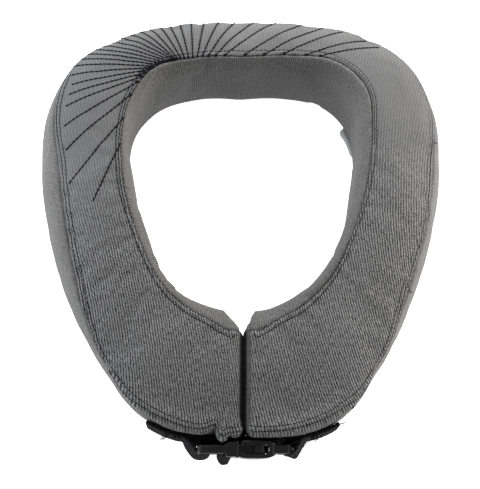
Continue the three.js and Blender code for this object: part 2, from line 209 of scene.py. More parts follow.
# The stitched rays of the fan, from the second. Columns: number, turn at the rim, turn at the shoulder line,
# how far the ray runs past that line
RAYS = [
    (2, 123, 91, -6.5),
    (3, 133, 103.5, -5),
    (4, 138.5, 111, -4.6),
    (5, 141, 117.3, -4.2),
    (7, 144.5, 124.3, -3),
    (9, 146.5, 131.3, 5),
    (12, 150.5, 138.5, 6),
    (15, 153.6, 146, 6),
    (18, 155.1, 153.7, 6),
    (22, 160.5, 164.8, 6),
    (25, 166.3, 177.3, 6),
    (27, 172.5, 189, 6),
    (28, 180, 197, 5),
    (30, 195, 209, 2),
    (32, 208, 220, 0),
]
SHORT_RAY = {"start": 111.6, "end": 85.2, "end_radius": 94.6}

# Rows of stitches on the top panel, as distances in from its seams
RIM_ROW = 0.5
SECOND_RIM_ROW = [
    (0, 4.4),
    (40, 3.4),
    (70, 3.2),
    (95, 4.2),
    (130, 4.2),
    (230, 4.2),
    (265, 3.0),
    (300, 2.5),
    (330, 3.4),
    (360, 4.4),
]
SIDE_ROW = 2.2
SIDE_ROW_STRETCHES = ((78, 150), (212, 250))
OUTER_ROWS = (2.6, 5.6)
SECOND_OUTER_ROW_STRETCHES = ((0, 128), (300, 360))
BAR_TACKS = (33.5, 336)
THREAD_ENDS = (252, 301)

# The straps, and the bars of the buckle that they pass round, in millimetres
SEWN_LEAN = math.radians(5.5)
STRIP_LEAN = math.radians(2)
BUCKLE_LEAN = math.radians(12)
STRAP_Z = 16.9
BUCKLE_PLANE = -164.4
STANDOFF = 0.2
SEWN_THICKNESS = 2.8
BAR_GAP = 0.3

# Both straps, in millimetres and in degrees from the front; "round" is how far they pass round the bar
# Columns of bar: x, radius
# Columns of lead and tail, which hang free: x, reach in front of the buckle's plane, lean in x and in y
# Columns of strip_end: x, reach in from the outer band, thickness
# Columns of frays: place along the strap, number of yarns, length
STRAPS = {
    "strap_left": {
        "side": -1, "sewn": (20, 11), "bar": (-18, 1.8), "round": (180, 0), "buckle": "buckle_plug",
        "lead": ((-35.9, -4.4, 0.04, 0.01), (-33, -0.6, 0.06, 0.03), (-30.4, 2.6, 0.04, 0),
                 (-27, 3.9, 0, -0.06), (-22.9, 2.8, 0, -0.1)),
        "tail": ((-14.4, 3.2, 0.1, -0.1), (-12, 6.2, 0.12, 0), (-8.6, 5.5, 0.12, 0.04)),
        "strip": (10.4, 0), "doubled": 1.75,
        "strip_end": ((-4.5, 0.8, 1.4), (-2.7, 2.0, 1.0), (-1.2, 3.4, 1.0), (0.6, 4.4, 1.0), (2.0, 4.8, 1.0)),
        "frays": ((0.02, 3, 1.2), (0.24, 7, 4.2), (0.31, 5, 3.4), (0.98, 6, 1.6)),
    },
    "strap_right": {
        "side": 1, "sewn": (20, 12.5), "bar": (30, 2), "round": (270, 90), "buckle": "buckle_socket",
        "lead": ((38.9, -5.4, -0.05, 0.02), (36.1, -0.8, -0.07, 0.03), (34, 2.4, -0.04, 0)),
        "tail": ((33.2, -3.4, 0, -0.1), (36, -4.2, 0, -0.1)),
        "strip": (11.4, 0), "doubled": 1.6,
        "strip_end": ((1.0, -0.3, 1.4), (-3.0, -0.6, 1.2)),
        "frays": ((0.01, 3, 3.2), (0.30, 7, 4.6), (0.36, 5, 3.6), (0.98, 4, 1.4)),
    },
}

# The folded label, in millimetres, at an angle from the front
LABEL = {"angle": 129, "length": 21, "reach": 3.6, "tucked": 2.6, "thickness": 1, "cloth": 0.36, "lift": 0.25,
         "front_reach": 0.4, "corner": 2.0, "corner_from": 0.7, "wave": 0.12, "waves": 5}

# Room that is kept over the floor, and between the cover and its foam
FLOOR_GAP = 0.02
FOAM_GAP = 0.5

# The photograph's view: the camera's place and target in millimetres, where the target falls in the image
IMAGE = (480, 489)
EYE = Vector((-35, -393.45, 1056.94))
TARGET = Vector((0, 0.75, 30))
TARGET_PIXEL = (241.8, 235)
FOCAL_PIXELS = 1635.3
ROLL = math.radians(-5.09)


# What a user may change

def measure(name, description, value, least, most):
    """A length that is given here in millimetres."""
    return FloatProperty(name=name, description=description, default=value * MM, min=least * MM,
                         max=most * MM, unit="LENGTH", precision=5)


class CollarSizes(bpy.types.PropertyGroup):
    cloth: measure("Cloth", "Thickness of the cover cloth", 1.6, 0.5, 3)
    seam_depth: measure("Seam Depth", "How far the cover is drawn in at its seams", 0.75, 0, 1.2)
    puff: measure("Puff", "Most that the cloth may swell over the foam", 0.8, 0, 4)
    pucker: measure("Pucker", "Height of the gathers beside the seams", 0.24, 0, 1)
    stitch: measure("Stitch", "Pitch of the seam stitches", 3.1, 1, 6)
    thread: measure("Thread", "Width of the seam thread", 0.64, 0.2, 2)
    ray_thread: measure("Ray Thread", "Width of the heavier thread in the fan", 1.1, 0.2, 3)
    rib_pitch: measure("Rib Pitch", "Distance between ribs of the top cloth", 1.7, 0.5, 5)
    weave_pitch: measure("Weave Pitch", "Distance between yarns of the plain cloth", 1.3, 0.3, 3)
    webbing_width: measure("Webbing Width", "Width of the straps", 25, 10, 27)
    webbing: measure("Webbing", "Thickness of the straps", 2, 0.5, 2.4)


def colour(name, description, value):
    return FloatVectorProperty(name=name, description=description, default=value, subtype="COLOR",
                               size=3, min=0, max=1)


class CollarColours(bpy.types.PropertyGroup):
    rib_dark: colour("Rib Shade", "Darker yarn of the ribbed cloth", (0.011, 0.011, 0.012))
    rib_light: colour("Rib Light", "Lighter yarn of the ribbed cloth", (0.214, 0.215, 0.219))
    plain_dark: colour("Plain Shade", "Darker yarn of the plain cloth", (0.062, 0.062, 0.063))
    plain_light: colour("Plain Light", "Lighter yarn of the plain cloth", (0.172, 0.171, 0.171))
    thread: colour("Thread", "Stitching thread", (0.005, 0.005, 0.006))
    webbing: colour("Webbing", "Strap webbing", (0.006, 0.006, 0.007))
    plastic: colour("Plastic", "Buckle", (0.006, 0.006, 0.007))
    label: colour("Label", "Blank satin label", (0.96, 0.98, 1.0))
    foam: colour("Foam", "Foam core", (0.045, 0.045, 0.050))


class CollarStage(bpy.types.PropertyGroup):
    floor: colour("Floor", "Pale floor", (0.93, 0.93, 0.93))
    glow: FloatProperty(name="Glow", description="Light from the lit table itself", default=1.0, min=0)
    sky: FloatProperty(name="Sky", description="Strength of the even studio light", default=0.42, min=0)
    sides: FloatProperty(name="Sides", description="Power of the soft lights at both sides",
                         default=12.0, min=0, unit="POWER")
    back: FloatProperty(name="Back", description="Power of the soft light above the back",
                        default=13.5, min=0, unit="POWER")


# Lines and directions

def length_along(line):
    """Distance along a line of points, from its first."""
    return np.concatenate([[0], np.cumsum(np.linalg.norm(np.diff(line, axis=0), axis=1))])


def points_at(distance, along, line):
    """Points of a line at these distances along it."""
    return np.stack([np.interp(distance, along, column) for column in line.T], axis=-1)


def unit(vectors):
    return vectors / np.linalg.norm(vectors, axis=-1, keepdims=True)


# Shape of the padded ring

def rows_at(rows, key):
    """Smooth values between the rows of a table, one array for each column after the first."""
    table = np.array(rows, float)
    keys, values = table[:, 0], table[:, 1:]
    slope = np.zeros_like(values)
    slope[1:-1] = (values[2:] - values[:-2]) / (keys[2:] - keys[:-2])[:, None]
    key = np.clip(np.atleast_1d(np.asarray(key, float)), keys[0], keys[-1])
    i = np.clip(np.searchsorted(keys, key, side="right") - 1, 0, len(keys) - 2)
    step = (keys[i + 1] - keys[i])[:, None]
    t = (key - keys[i])[:, None] / step
    a, b = values[i], values[i + 1]
    da, db = slope[i] * step, slope[i + 1] * step
    return (a + t * (da + t * (3 * (b - a) - 2 * da - db + t * (2 * (a - b) + da + db)))).T


def section_at(angle, side):
    """Radii and heights of the ring's section at each angle, as arrays by name."""
    angle, side = np.broadcast_arrays(np.atleast_1d(np.asarray(angle, float)), side)
    neck, rim, rim_z, seam, seam_z, belly, foot = rows_at(SECTIONS, angle)
    more_neck, more_rim, more_seam, more_belly = rows_at(UNEVEN, angle) * side
    seam = seam + more_seam
    out, drop = rows_at(FOLD, HALF_SLIT + seam * np.sin(np.radians(angle)))
    folded = (side < 0) & (angle < 90)
    seam_z = seam_z - np.where(folded, drop, 0)
    from_slit = HALF_SLIT + neck * np.sin(np.radians(angle))
    more_neck = more_neck + np.where(angle < 90, notch(from_slit, side), 0)
    return {
        "neck": neck + more_neck, "rim": rim + more_rim, "rim_z": rim_z,
        "seam": seam + np.where(folded, out, 0), "seam_z": seam_z,
        "belly": belly + more_belly, "belly_z": BELLY_SHARE * seam_z, "foot": foot + more_belly,
    }


def notch(from_slit, side):
    """How far the neck wall falls back at a distance from the middle of the slit."""
    depth, start = (np.where(np.asarray(side) < 0, NOTCH[-1][k], NOTCH[1][k]) for k in (0, 1))
    return depth * np.clip((start - from_slit) / (start - SLIT / 2), 0, 1)


def in_place(radius, height, angle, side):
    """Points of the ring from radii and heights at these angles."""
    t = np.radians(angle)
    shift = HALF_SLIT * (1 + np.cos(t)) / 2
    x = side * (shift + radius * np.sin(t))
    y = NECK_CENTRE_Y - radius * np.cos(t)
    return np.stack(np.broadcast_arrays(x, y, height), axis=-1)


def quadratic(a, control, b, steps):
    t = np.linspace(0, 1, steps)[None, :, None]
    return (1 - t) ** 2 * a[:, None] + 2 * t * (1 - t) * control[:, None] + t**2 * b[:, None]


def quarter_ellipse(centre, cosine, sine, steps):
    t = np.linspace(0, math.pi / 2, steps)[None, :, None]
    return centre[:, None] + np.cos(t) * cosine[:, None] + np.sin(t) * sine[:, None]


CURVE_STEPS = 40


def moved_seam(top, band, shift):
    """Moves the seam between two stretches of each section on along the second, or back along the first."""
    moved = []
    steps = 2 * CURVE_STEPS
    for first, second, further in zip(top, band, shift):
        line = np.concatenate([first, second[1:]])
        along = length_along(line)
        cut = along[len(first) - 1] + further
        at = np.concatenate([np.linspace(0, cut, steps), np.linspace(cut, along[-1], steps)])
        moved.append(points_at(at, along, line))
    moved = np.array(moved)
    return moved[:, :steps], moved[:, steps:]


def section_curves(s, turn):
    """The four stretches of each section between seams, as fine lines of (radius, height)."""
    def at(r, z):
        return np.stack(np.broadcast_arrays(r, z), axis=-1).astype(float)

    zero = np.zeros_like(s["rim"])
    rim, seam = at(s["rim"], s["rim_z"]), at(s["seam"], s["seam_z"])
    belly = at(s["belly"], s["belly_z"])
    across = seam - rim
    up = unit(np.stack([-across[:, 1], across[:, 0]], axis=-1))
    crown = (rim + seam) / 2 + 2 * CROWN * up
    shoulder = at(s["seam"] + SHOULDER_OUT * (s["belly"] - s["seam"]),
                  s["seam_z"] - SHOULDER_DROP * (s["seam_z"] - s["belly_z"]))
    foot, neck_foot = at(s["foot"], zero), at(s["neck"] + NECK_FOOT, zero)
    top = quadratic(rim, crown, seam, CURVE_STEPS)
    band = np.concatenate([
        quadratic(seam, shoulder, belly, CURVE_STEPS),
        quarter_ellipse(at(s["foot"], s["belly_z"]), at(s["belly"] - s["foot"], zero),
                        at(zero, -s["belly_z"]), CURVE_STEPS)[:, 1:],
    ], axis=1)
    top, band = moved_seam(top, band, rows_at(SEAM_SHIFT, turn)[0])
    base = np.stack([foot, neck_foot], axis=1)
    neck = np.concatenate([
        quarter_ellipse(at(s["neck"] + NECK_FOOT, zero + NECK_FOOT), at(zero, zero - NECK_FOOT),
                        at(zero - NECK_FOOT, zero), CURVE_STEPS),
        quarter_ellipse(at(s["rim"], s["rim_z"] - ROLL_HEIGHT), at(s["neck"] - s["rim"], zero),
                        at(zero, zero + ROLL_HEIGHT), CURVE_STEPS),
    ], axis=1)
    neck, top = moved_seam(neck, top, -rows_at(RIM_SHIFT, turn)[0])
    return {"top_panel": top, "outer_band": band, "base_panel": base, "neck_panel": neck}


# Distances from a seam of the grid's columns beside it, and how many lie between those of two seams
NEAR_SEAM = (0, 0.3, 0.7, 1.2, 1.9, 2.7, 3.5, 4.4, 5.0, 5.6, 6.4, 7.6, 9.2)
MIDDLE_COLUMNS = {"top_panel": 18, "outer_band": 10, "base_panel": 8, "neck_panel": 18}


def evenly_cut(curve, middle):
    """Points along each line, close together near both of its ends, with their distances from the ends."""
    near = np.array(NEAR_SEAM)
    points, reach = [], []
    for line in curve:
        along = length_along(line)
        inner = np.linspace(near[-1], along[-1] - near[-1], middle + 2)[1:-1]
        at = np.concatenate([near, inner, along[-1] - near[::-1]])
        points.append(points_at(at, along, line))
        reach.append(at)
    return np.array(points), np.array(reach)


# Angles of the grid's rows from the front, and turns of the rows that round each end towards its flat face
FRONT_STEPS = np.arange(0, 30, 0.6)
ROUND_STEPS = np.linspace(30, 180, 168)
END_TURNS = {-1: np.radians(np.linspace(0, 78, 11)), 1: np.radians(np.linspace(0, 40, 7))}

# The line inside each end that its rounding draws in to: distance from both walls, and heights
SPINE_INSET = 18
SPINE_HEIGHTS = (27, 19)


def end_rings(ring, side, turns, depth=0.0):
    """Rings over a rounded end beside the slit, from the section's own ring towards the flat face."""
    s = section_at(0, float(side))
    flat = np.stack([NECK_CENTRE_Y - ring[:, 1], ring[:, 2]], axis=-1)
    low, high = s["neck"][0] + SPINE_INSET, s["seam"][0] - SPINE_INSET
    radius = np.clip(flat[:, 0], low, high)
    spine = np.stack([radius, np.interp(radius, [low, high], SPINE_HEIGHTS)], axis=-1)
    inwards = unit(spine - flat)
    ahead = unit(np.roll(flat, -1, axis=0) - np.roll(flat, 1, axis=0))
    out = np.stack([ahead[:, 1], -ahead[:, 0]], axis=-1)
    out *= -np.sign(np.sum(out * inwards, axis=1))[:, None]
    near_neck = np.clip((s["rim"] - flat[:, 0]) / (s["rim"] - s["neck"]), 0, 1)
    rings = []
    for t in turns:
        from_slit = SLIT / 2 + depth + (HALF_SLIT - SLIT / 2 - depth) * (1 - math.sin(t))
        place = flat + END_FALL * (1 - math.cos(t)) * inwards - depth * out
        place[:, 0] += near_neck * (notch(from_slit, side) - notch(HALF_SLIT, side))
        x = np.full(len(ring), side * from_slit)
        rings.append(np.stack([x, NECK_CENTRE_Y - place[:, 0], place[:, 1]], axis=-1))
    return np.array(rings)


# How the ribs of the top panel spread, lean and bow over its cloth, with a line across it where that changes
GRAIN = {"spread": 1.03, "fall": 0.000002, "lean": 0.139, "twist": 0.0013, "bow": 0.0000123,
         "right_bow": 0.000006, "turn": 0.06, "line": -40, "back_bow": 0.0009}


class Cover:
    """The sewn cover as one grid: rows are stations round the ring, columns go round each section."""

    def __init__(self):
        half = np.concatenate([FRONT_STEPS, ROUND_STEPS])
        angle = np.concatenate([half, half[-2::-1]])
        side = np.where(np.arange(len(angle)) < len(half), -1.0, 1.0)
        turn = np.where(side < 0, angle, 360 - angle)
        curves = section_curves(section_at(angle, side), turn)
        before, after = (len(END_TURNS[k]) - 1 for k in (-1, 1))
        ends = ((before, after), (0, 0))
        self.main = slice(before, before + len(angle))
        self.angle, self.side, self.turn = (np.pad(v, (before, after), "edge") for v in (angle, side, turn))
        self.columns, self.from_first, self.from_last, flat = {}, {}, {}, []
        start = 0
        for name, curve in curves.items():
            points, reach = evenly_cut(curve, MIDDLE_COLUMNS[name])
            self.columns[name] = np.arange(start, start + points.shape[1])
            self.from_first[name] = np.pad(reach, ends, "edge")
            self.from_last[name] = np.pad(reach[:, -1:] - reach, ends, "edge")
            flat.append(points[:, :-1])
            start += points.shape[1] - 1
        self.columns["neck_panel"][-1] = 0
        flat = np.concatenate(flat, axis=1)
        main = in_place(flat[..., 0], flat[..., 1], angle[:, None], side[:, None])
        self.first_ring, self.last_ring = main[0], main[-1]
        self.base = np.concatenate([end_rings(main[0], -1, END_TURNS[-1])[:0:-1], main,
                                    end_rings(main[-1], 1, END_TURNS[1])[1:]])
        round_section = np.roll(self.base, -1, axis=1) - np.roll(self.base, 1, axis=1)
        normals = unit(np.cross(round_section, np.gradient(self.base, axis=0)))
        middle = self.columns["top_panel"][len(self.columns["top_panel"]) // 2]
        self.normals = normals * np.sign(normals[self.main, middle, 2].mean())
        steps = np.linalg.norm(np.diff(self.base, axis=0), axis=2)
        self.along = np.concatenate([np.zeros((1, steps.shape[1])), np.cumsum(steps, axis=0)])
        self.from_end = np.minimum(self.along, self.along[-1] - self.along)

    def grain_map(self):
        """Where each point of the top panel lay on its cloth, whose ribs lean and bow a little."""
        columns = self.columns["top_panel"]
        points, along = self.base[:, columns], self.along[:, columns]
        x, y = points[..., 0].copy(), points[..., 1]
        for edge, side, rows in ((self.main.start, -1, slice(0, self.main.start)),
                                 (self.main.stop - 1, 1, slice(self.main.stop, None))):
            x[rows] = x[edge] - side * np.abs(along[rows] - along[edge])
        g = GRAIN
        bow = (g["bow"] * x + g["right_bow"] * np.maximum(x, 0)) * np.minimum(y, 0) ** 2
        lean = g["lean"] * y - g["twist"] * x * y - bow
        lean += g["turn"] * np.minimum(y - g["line"], 0) - g["back_bow"] * np.maximum(y, g["line"]) ** 2
        return np.stack([g["spread"] * x - g["fall"] * x**3 + lean, y], axis=-1)


# Relief of the sewn cover, in millimetres: a dip is given by its depth and width
SEAM_WIDTH = 0.9
END_SEAM = {"share": 0.85, "width": 1.0}
RIM_WELT = {"height": 0.25, "share": 0.35}
RIM_ROW_DIP = (0.25, 0.7)
OUTER_ROW_DIP = (0.24, 0.6)
RAY_DIP = (0.16, 1.3)
BASE_SINK = 0.1
CORNER_WIDTH = 9
ROLL_UNDER = 2.4

# Relief along the outer seam. Columns: distance from it, height where the size is fixed, width
OUTER_WELTS = ((4.5, 0.25, 1.1), (1.5, 0.2, 0.8))
ROLL_LINE = (2, 7)
STRAP_LINE = (11, 11)

# Gathers beside the seams. Columns of the waves: length, phase
GATHER_WAVES = ((4.7, 0.0), (7.3, 1.3), (12.1, 2.1))
RIM_GATHERS = {"phase": 0, "past": 1, "width": 4}
OUTER_GATHERS = {"phase": 2, "past": 1, "width": 4.5}
PLAIN_GATHERS = ({"phase": 4, "share": 0.7, "width": 6}, {"phase": 5, "share": 1.2, "width": 6})


def hump(distance, width):
    """A rounded hump, 1 high where the distance is 0."""
    return np.exp(-((distance / width) ** 2))


def dip(distance, depth, width):
    return -depth * hump(distance, width)


def gathers(along, start):
    """Uneven gathers along a seam, between -1 and 1."""
    waves = [np.sin(2 * np.pi * along / length + phase + start) for length, phase in GATHER_WAVES]
    return sum(waves) / len(waves)


RAY_START = 0.4


def ray_lines():
    """The stitched rays of the fan in plan, each as its start at the rim and its end near the outer seam."""
    def plan(turn, name, radius=None):
        angle, side = (turn, -1.0) if turn <= 180 else (360 - turn, 1.0)
        r = section_at(angle, side)[name][0] if radius is None else radius
        return in_place(r, 0.0, angle, side)[:2]

    lines = [(plan(SHORT_RAY["start"], "rim"), plan(SHORT_RAY["end"], "seam", SHORT_RAY["end_radius"]))]
    for rim, shoulder, past in rows_at(RAYS, np.arange(RAYS[0][0], RAYS[-1][0] + 1)).T:
        start, end = plan(rim, "rim"), plan(shoulder, "seam")
        ahead = unit(end - start)
        lines.append((start + RAY_START * ahead, end + past * ahead))
    return lines


def distance_to_rays(points):
    """Distance in plan from each point to the nearest stitched ray."""
    nearest = np.full(points.shape[:-1], 1e9)
    for start, end in ray_lines():
        line = end - start
        share = np.clip(((points[..., :2] - start) @ line) / (line @ line), 0, 1)
        gap = np.linalg.norm(points[..., :2] - start - share[..., None] * line, axis=-1)
        nearest = np.minimum(nearest, gap)
    return nearest


def sewn_relief(cover):
    """How far the cloth stands out from the smooth ring: seams, stitch rows, gathers and creases."""
    sizes = bpy.context.scene.collar_sizes
    seam, pucker = sizes.seam_depth / MM, sizes.pucker / MM
    roll = rows_at(FRONT_ROLL, cover.turn)[0][:, None]
    relief = np.zeros(cover.base.shape[:2])
    for name, columns in cover.columns.items():
        first, last = cover.from_first[name], cover.from_last[name]
        along = cover.along[:, columns]
        out = dip(first, seam, SEAM_WIDTH) + dip(last, seam, SEAM_WIDTH)
        if name == "top_panel":
            out += top_relief(cover, columns, first, last, pucker)
            out += roll * hump(last - ROLL_LINE[0], ROLL_LINE[1])
        elif name == "base_panel":
            out -= BASE_SINK
        else:
            if name == "outer_band":
                out += roll * hump(ROLL_LINE[0], ROLL_LINE[1]) * hump(first, ROLL_UNDER)
                swell = rows_at(STRAP_SWELL, cover.turn)[0][:, None]
                out += swell * hump(first - STRAP_LINE[0], STRAP_LINE[1])
            for gather, edge, distance in zip(PLAIN_GATHERS, (along[:, :1], along[:, -1:]), (first, last)):
                height = gather["share"] * pucker * gathers(edge, gather["phase"])
                out += height * hump(distance, gather["width"])
        relief[:, columns] = out
    relief += dip(cover.from_end, END_SEAM["share"] * seam, END_SEAM["width"])
    return relief + folded_corner(cover) + neck_crease(cover)


def top_relief(cover, columns, first, last, pucker):
    """Relief of the top panel: welts, stitch rows, gathers, rays and the rounded right corner."""
    points, along = cover.base[:, columns], cover.along[:, columns]
    second = rows_at(SECOND_RIM_ROW, cover.turn)[0][:, None]
    out = RIM_WELT["height"] * hump(first - second / 2, RIM_WELT["share"] * second)
    out += dip(first - second, *RIM_ROW_DIP)
    for row in OUTER_ROWS:
        out += dip(last - row, *OUTER_ROW_DIP)
    for place, height, width in OUTER_WELTS:
        out += height * hump(last - place, width)
    for gather, edge, distance in ((RIM_GATHERS, along[:, :1], first - second),
                                   (OUTER_GATHERS, along[:, -1:], last - OUTER_ROWS[1])):
        out += pucker * gathers(edge, gather["phase"]) * hump(distance - gather["past"], gather["width"])
    out += dip(distance_to_rays(points), *RAY_DIP)
    corner = rows_at(RIGHT_CORNER, np.maximum(points[..., 0], 0).ravel())[0].reshape(out.shape)
    right = ((cover.side > 0) & (cover.angle < 90))[:, None]
    return out + corner * right * hump(last, CORNER_WIDTH)


# The folded corner of the left lobe. Columns of its lines: distance from the slit, height or depth, width
CORNER_FOLD = {"reach": 24, "fading": 1.5, "lean": 0.12, "short_reach": 14, "tab": (13.6, 1.1, 3.4),
               "corner": (5, 0.5, 2.5), "crease": (18.2, 1.7, 1.5), "short_crease": (9.2, 1.5, 1.2)}


def folded_corner(cover):
    """The creases that mark off the bulging corner of the left lobe."""
    relief = np.zeros(cover.base.shape[:2])
    left = (cover.side < 0) & (cover.angle < 30)
    from_slit = -cover.base[..., 0]
    for name, reach in (("top_panel", cover.from_last), ("outer_band", cover.from_first)):
        columns, depth = cover.columns[name], reach[name]
        across = from_slit[:, columns] + CORNER_FOLD["lean"] * depth
        lines = {}
        for part in ("tab", "corner", "crease", "short_crease"):
            place, height, width = CORNER_FOLD[part]
            lines[part] = height * hump(across - place, width)
        short = lines["short_crease"] * np.clip(1 - depth / CORNER_FOLD["short_reach"], 0, 1)
        fade = np.clip(1 - depth / CORNER_FOLD["reach"], 0, 1) ** CORNER_FOLD["fading"] * left[:, None]
        relief[:, columns] = fade * (lines["tab"] + lines["corner"] - lines["crease"] - short)
    return relief


# The crease low in the back of the neck panel: its turn and slant, depth and width, and reach up the wall
NECK_FOLD = {"turn": 208, "slant": 0.3, "size": (3.4, 1.6), "reach": (8, 12)}


def neck_crease(cover):
    """The crease that presses into the cover and the foam at the back of the neck."""
    relief = np.zeros(cover.base.shape[:2])
    columns, height = cover.columns["neck_panel"], cover.from_first["neck_panel"]
    middle, reach = NECK_FOLD["reach"]
    across = cover.turn[:, None] - NECK_FOLD["turn"] - NECK_FOLD["slant"] * height
    relief[:, columns] = dip(across, *NECK_FOLD["size"]) * hump(height - middle, reach)
    return relief


# Cloth simulation: the cover swells between its seams

ROW_SKIP = 3
COLUMN_SKIP = 3
SWELL_FRAMES = 20
SWELL_PRESSURE = 4
SWELL_STRETCH = 0.015
BAND_SWELL_SHARE = 0.4
LEAST_CLOTH = 0.35


def swelling(cover):
    """How far air pressure lifts the cover between its seams, by a cloth simulation of a coarser grid."""
    limit = bpy.context.scene.collar_sizes.puff / MM
    rows = np.unique(np.append(np.arange(0, len(cover.angle), ROW_SKIP), len(cover.angle) - 1))
    seams = sorted({int(c[0]) for c in cover.columns.values()})
    count = cover.base.shape[1]
    spaced = [np.arange(a, b, COLUMN_SKIP) for a, b in zip(seams, [*seams[1:], count])]
    columns = np.concatenate([s if b - s[-1] > 1 else s[:-1]
                              for s, b in zip(spaced, [*seams[1:], count])])
    points = cover.base[np.ix_(rows, columns)]
    loft = lofted("cover_swell", points)
    held = np.isin(columns, seams)[None, :] | (np.arange(len(rows)) % (len(rows) - 1) == 0)[:, None]
    base = cover.columns["base_panel"]
    held = held | ((columns >= base[0]) & (columns <= base[-1]))[None, :]
    pins = loft.vertex_groups.new(name="seams")
    pins.add([int(i) for i in np.flatnonzero(held)], 1.0, "REPLACE")
    cloth = loft.modifiers.new("Swell", "CLOTH")
    cloth.settings.vertex_group_mass = pins.name
    cloth.settings.use_pressure = True
    cloth.settings.uniform_pressure_force = SWELL_PRESSURE
    cloth.settings.effector_weights.gravity = 0
    cloth.settings.shrink_min = -SWELL_STRETCH
    cloth.point_cache.frame_end = SWELL_FRAMES
    scene = bpy.context.scene
    for number in range(1, SWELL_FRAMES + 1):
        scene.frame_set(number)
    shaped = loft.evaluated_get(bpy.context.evaluated_depsgraph_get())
    moved = np.zeros(3 * len(shaped.data.vertices), np.float32)
    shaped.data.vertices.foreach_get("co", moved)
    moved = moved.reshape(-1, 3)[:points.shape[0] * points.shape[1]].reshape(points.shape) / MM
    scene.frame_set(1)
    mesh = loft.data
    bpy.data.objects.remove(loft)
    bpy.data.meshes.remove(mesh)
    lift = np.sum((moved - points) * cover.normals[np.ix_(rows, columns)], axis=2)
    lift = np.clip(lift, -limit / 2, limit)
    band = cover.columns["outer_band"]
    lift[:, (columns > band[0]) & (columns < band[-1])] *= BAND_SWELL_SHARE
    lift = np.concatenate([lift, lift[:, :1]], axis=1)
    round_section = np.append(columns, count)
    finer = np.array([np.interp(np.arange(count), round_section, row) for row in lift])
    return np.array([np.interp(np.arange(len(cover.angle)), rows, column) for column in finer.T]).T


@functools.lru_cache(maxsize=None)
def sewn_cover():
    """The finished cover: its grid with the outer and inner faces of the cloth."""
    cover = Cover()
    thickness = bpy.context.scene.collar_sizes.cloth / MM
    relief = sewn_relief(cover)
    relief += swelling(cover)
    relief = np.maximum(relief, LEAST_CLOTH - thickness)
    cover.outer = cover.base + relief[..., None] * cover.normals
    cover.inner = cover.base - thickness * cover.normals
    cover.outer[..., 2] = np.maximum(cover.outer[..., 2], FLOOR_GAP)
    return cover


# Meshes

def make_piece(name, points, faces, flat_faces=(), uv=None):
    """A mesh object from points in millimetres, smooth apart from its flat faces, facing out."""
    mesh = bpy.data.meshes.new(name)
    every = [*[tuple(map(int, f)) for f in faces], *[tuple(map(int, f)) for f in flat_faces]]
    mesh.from_pydata((np.asarray(points, float) * MM).tolist(), [], every)
    smooth = np.arange(len(every)) < len(faces)
    mesh.polygons.foreach_set("use_smooth", smooth)
    work = bmesh.new()
    work.from_mesh(mesh)
    bmesh.ops.recalc_face_normals(work, faces=work.faces)
    work.to_mesh(mesh)
    work.free()
    if uv is not None:
        corner = np.zeros(len(mesh.loops), np.int32)
        mesh.loops.foreach_get("vertex_index", corner)
        layer = mesh.uv_layers.new(name="cut")
        layer.data.foreach_set("uv", (np.asarray(uv, float)[corner] * MM).ravel())
    piece = bpy.data.objects.new(name, mesh)
    bpy.context.scene.collection.objects.link(piece)
    return piece


def grid_faces(rows, columns, closed=False):
    index = np.arange(rows * columns).reshape(rows, columns)
    if closed:
        index = np.concatenate([index, index[:, :1]], axis=1)
    quads = np.stack([index[:-1, :-1], index[1:, :-1], index[1:, 1:], index[:-1, 1:]], axis=-1)
    return quads.reshape(-1, 4)


def walled(name, outer, inner, uv):
    """A closed wall of cloth between two grids of points."""
    rows, columns = outer.shape[:2]
    count = rows * columns
    index = np.arange(count).reshape(rows, columns)
    edge = np.concatenate([index[0], index[1:, -1], index[-1, -2::-1], index[-2:0:-1, 0]])
    after = np.roll(edge, -1)
    faces = grid_faces(rows, columns)
    hems = np.stack([edge, after, after + count, edge + count], axis=-1)
    points = np.concatenate([outer.reshape(-1, 3), inner.reshape(-1, 3)])
    both = np.concatenate([uv.reshape(-1, 2)] * 2)
    return make_piece(name, points, np.concatenate([faces, faces[:, ::-1] + count]), hems, both)


def lofted(name, rings, uv=None):
    """A closed solid through rings of points, with flat ends."""
    rows, columns = rings.shape[:2]
    ends = [np.arange(columns), np.arange(columns) + (rows - 1) * columns]
    return make_piece(name, rings.reshape(-1, 3), grid_faces(rows, columns, closed=True), ends, uv)


def dressed(piece, material, slot, *nodes):
    """Gives a piece its material and its place in the frame, and hides the solids that it stands for."""
    piece.data.materials.clear()
    piece.data.materials.append(material)
    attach(piece, "root")
    if nodes:
        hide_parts(*nodes)
    return piece


# Stitches

# A stitch as rings along it: place along its length, then size and rise as shares of half its width
STITCH_RINGS = ((-0.5, 0.3, -0.55), (-0.42, 0.72, -0.3), (-0.2, 1.0, 0.0),
                (0.2, 1.0, 0.0), (0.42, 0.72, -0.3), (0.5, 0.3, -0.55))
STITCH_SIDES = 6
STITCH_HEIGHT = 0.75
STITCH_LIFT = 0.5
STITCH_SHARE = 0.94


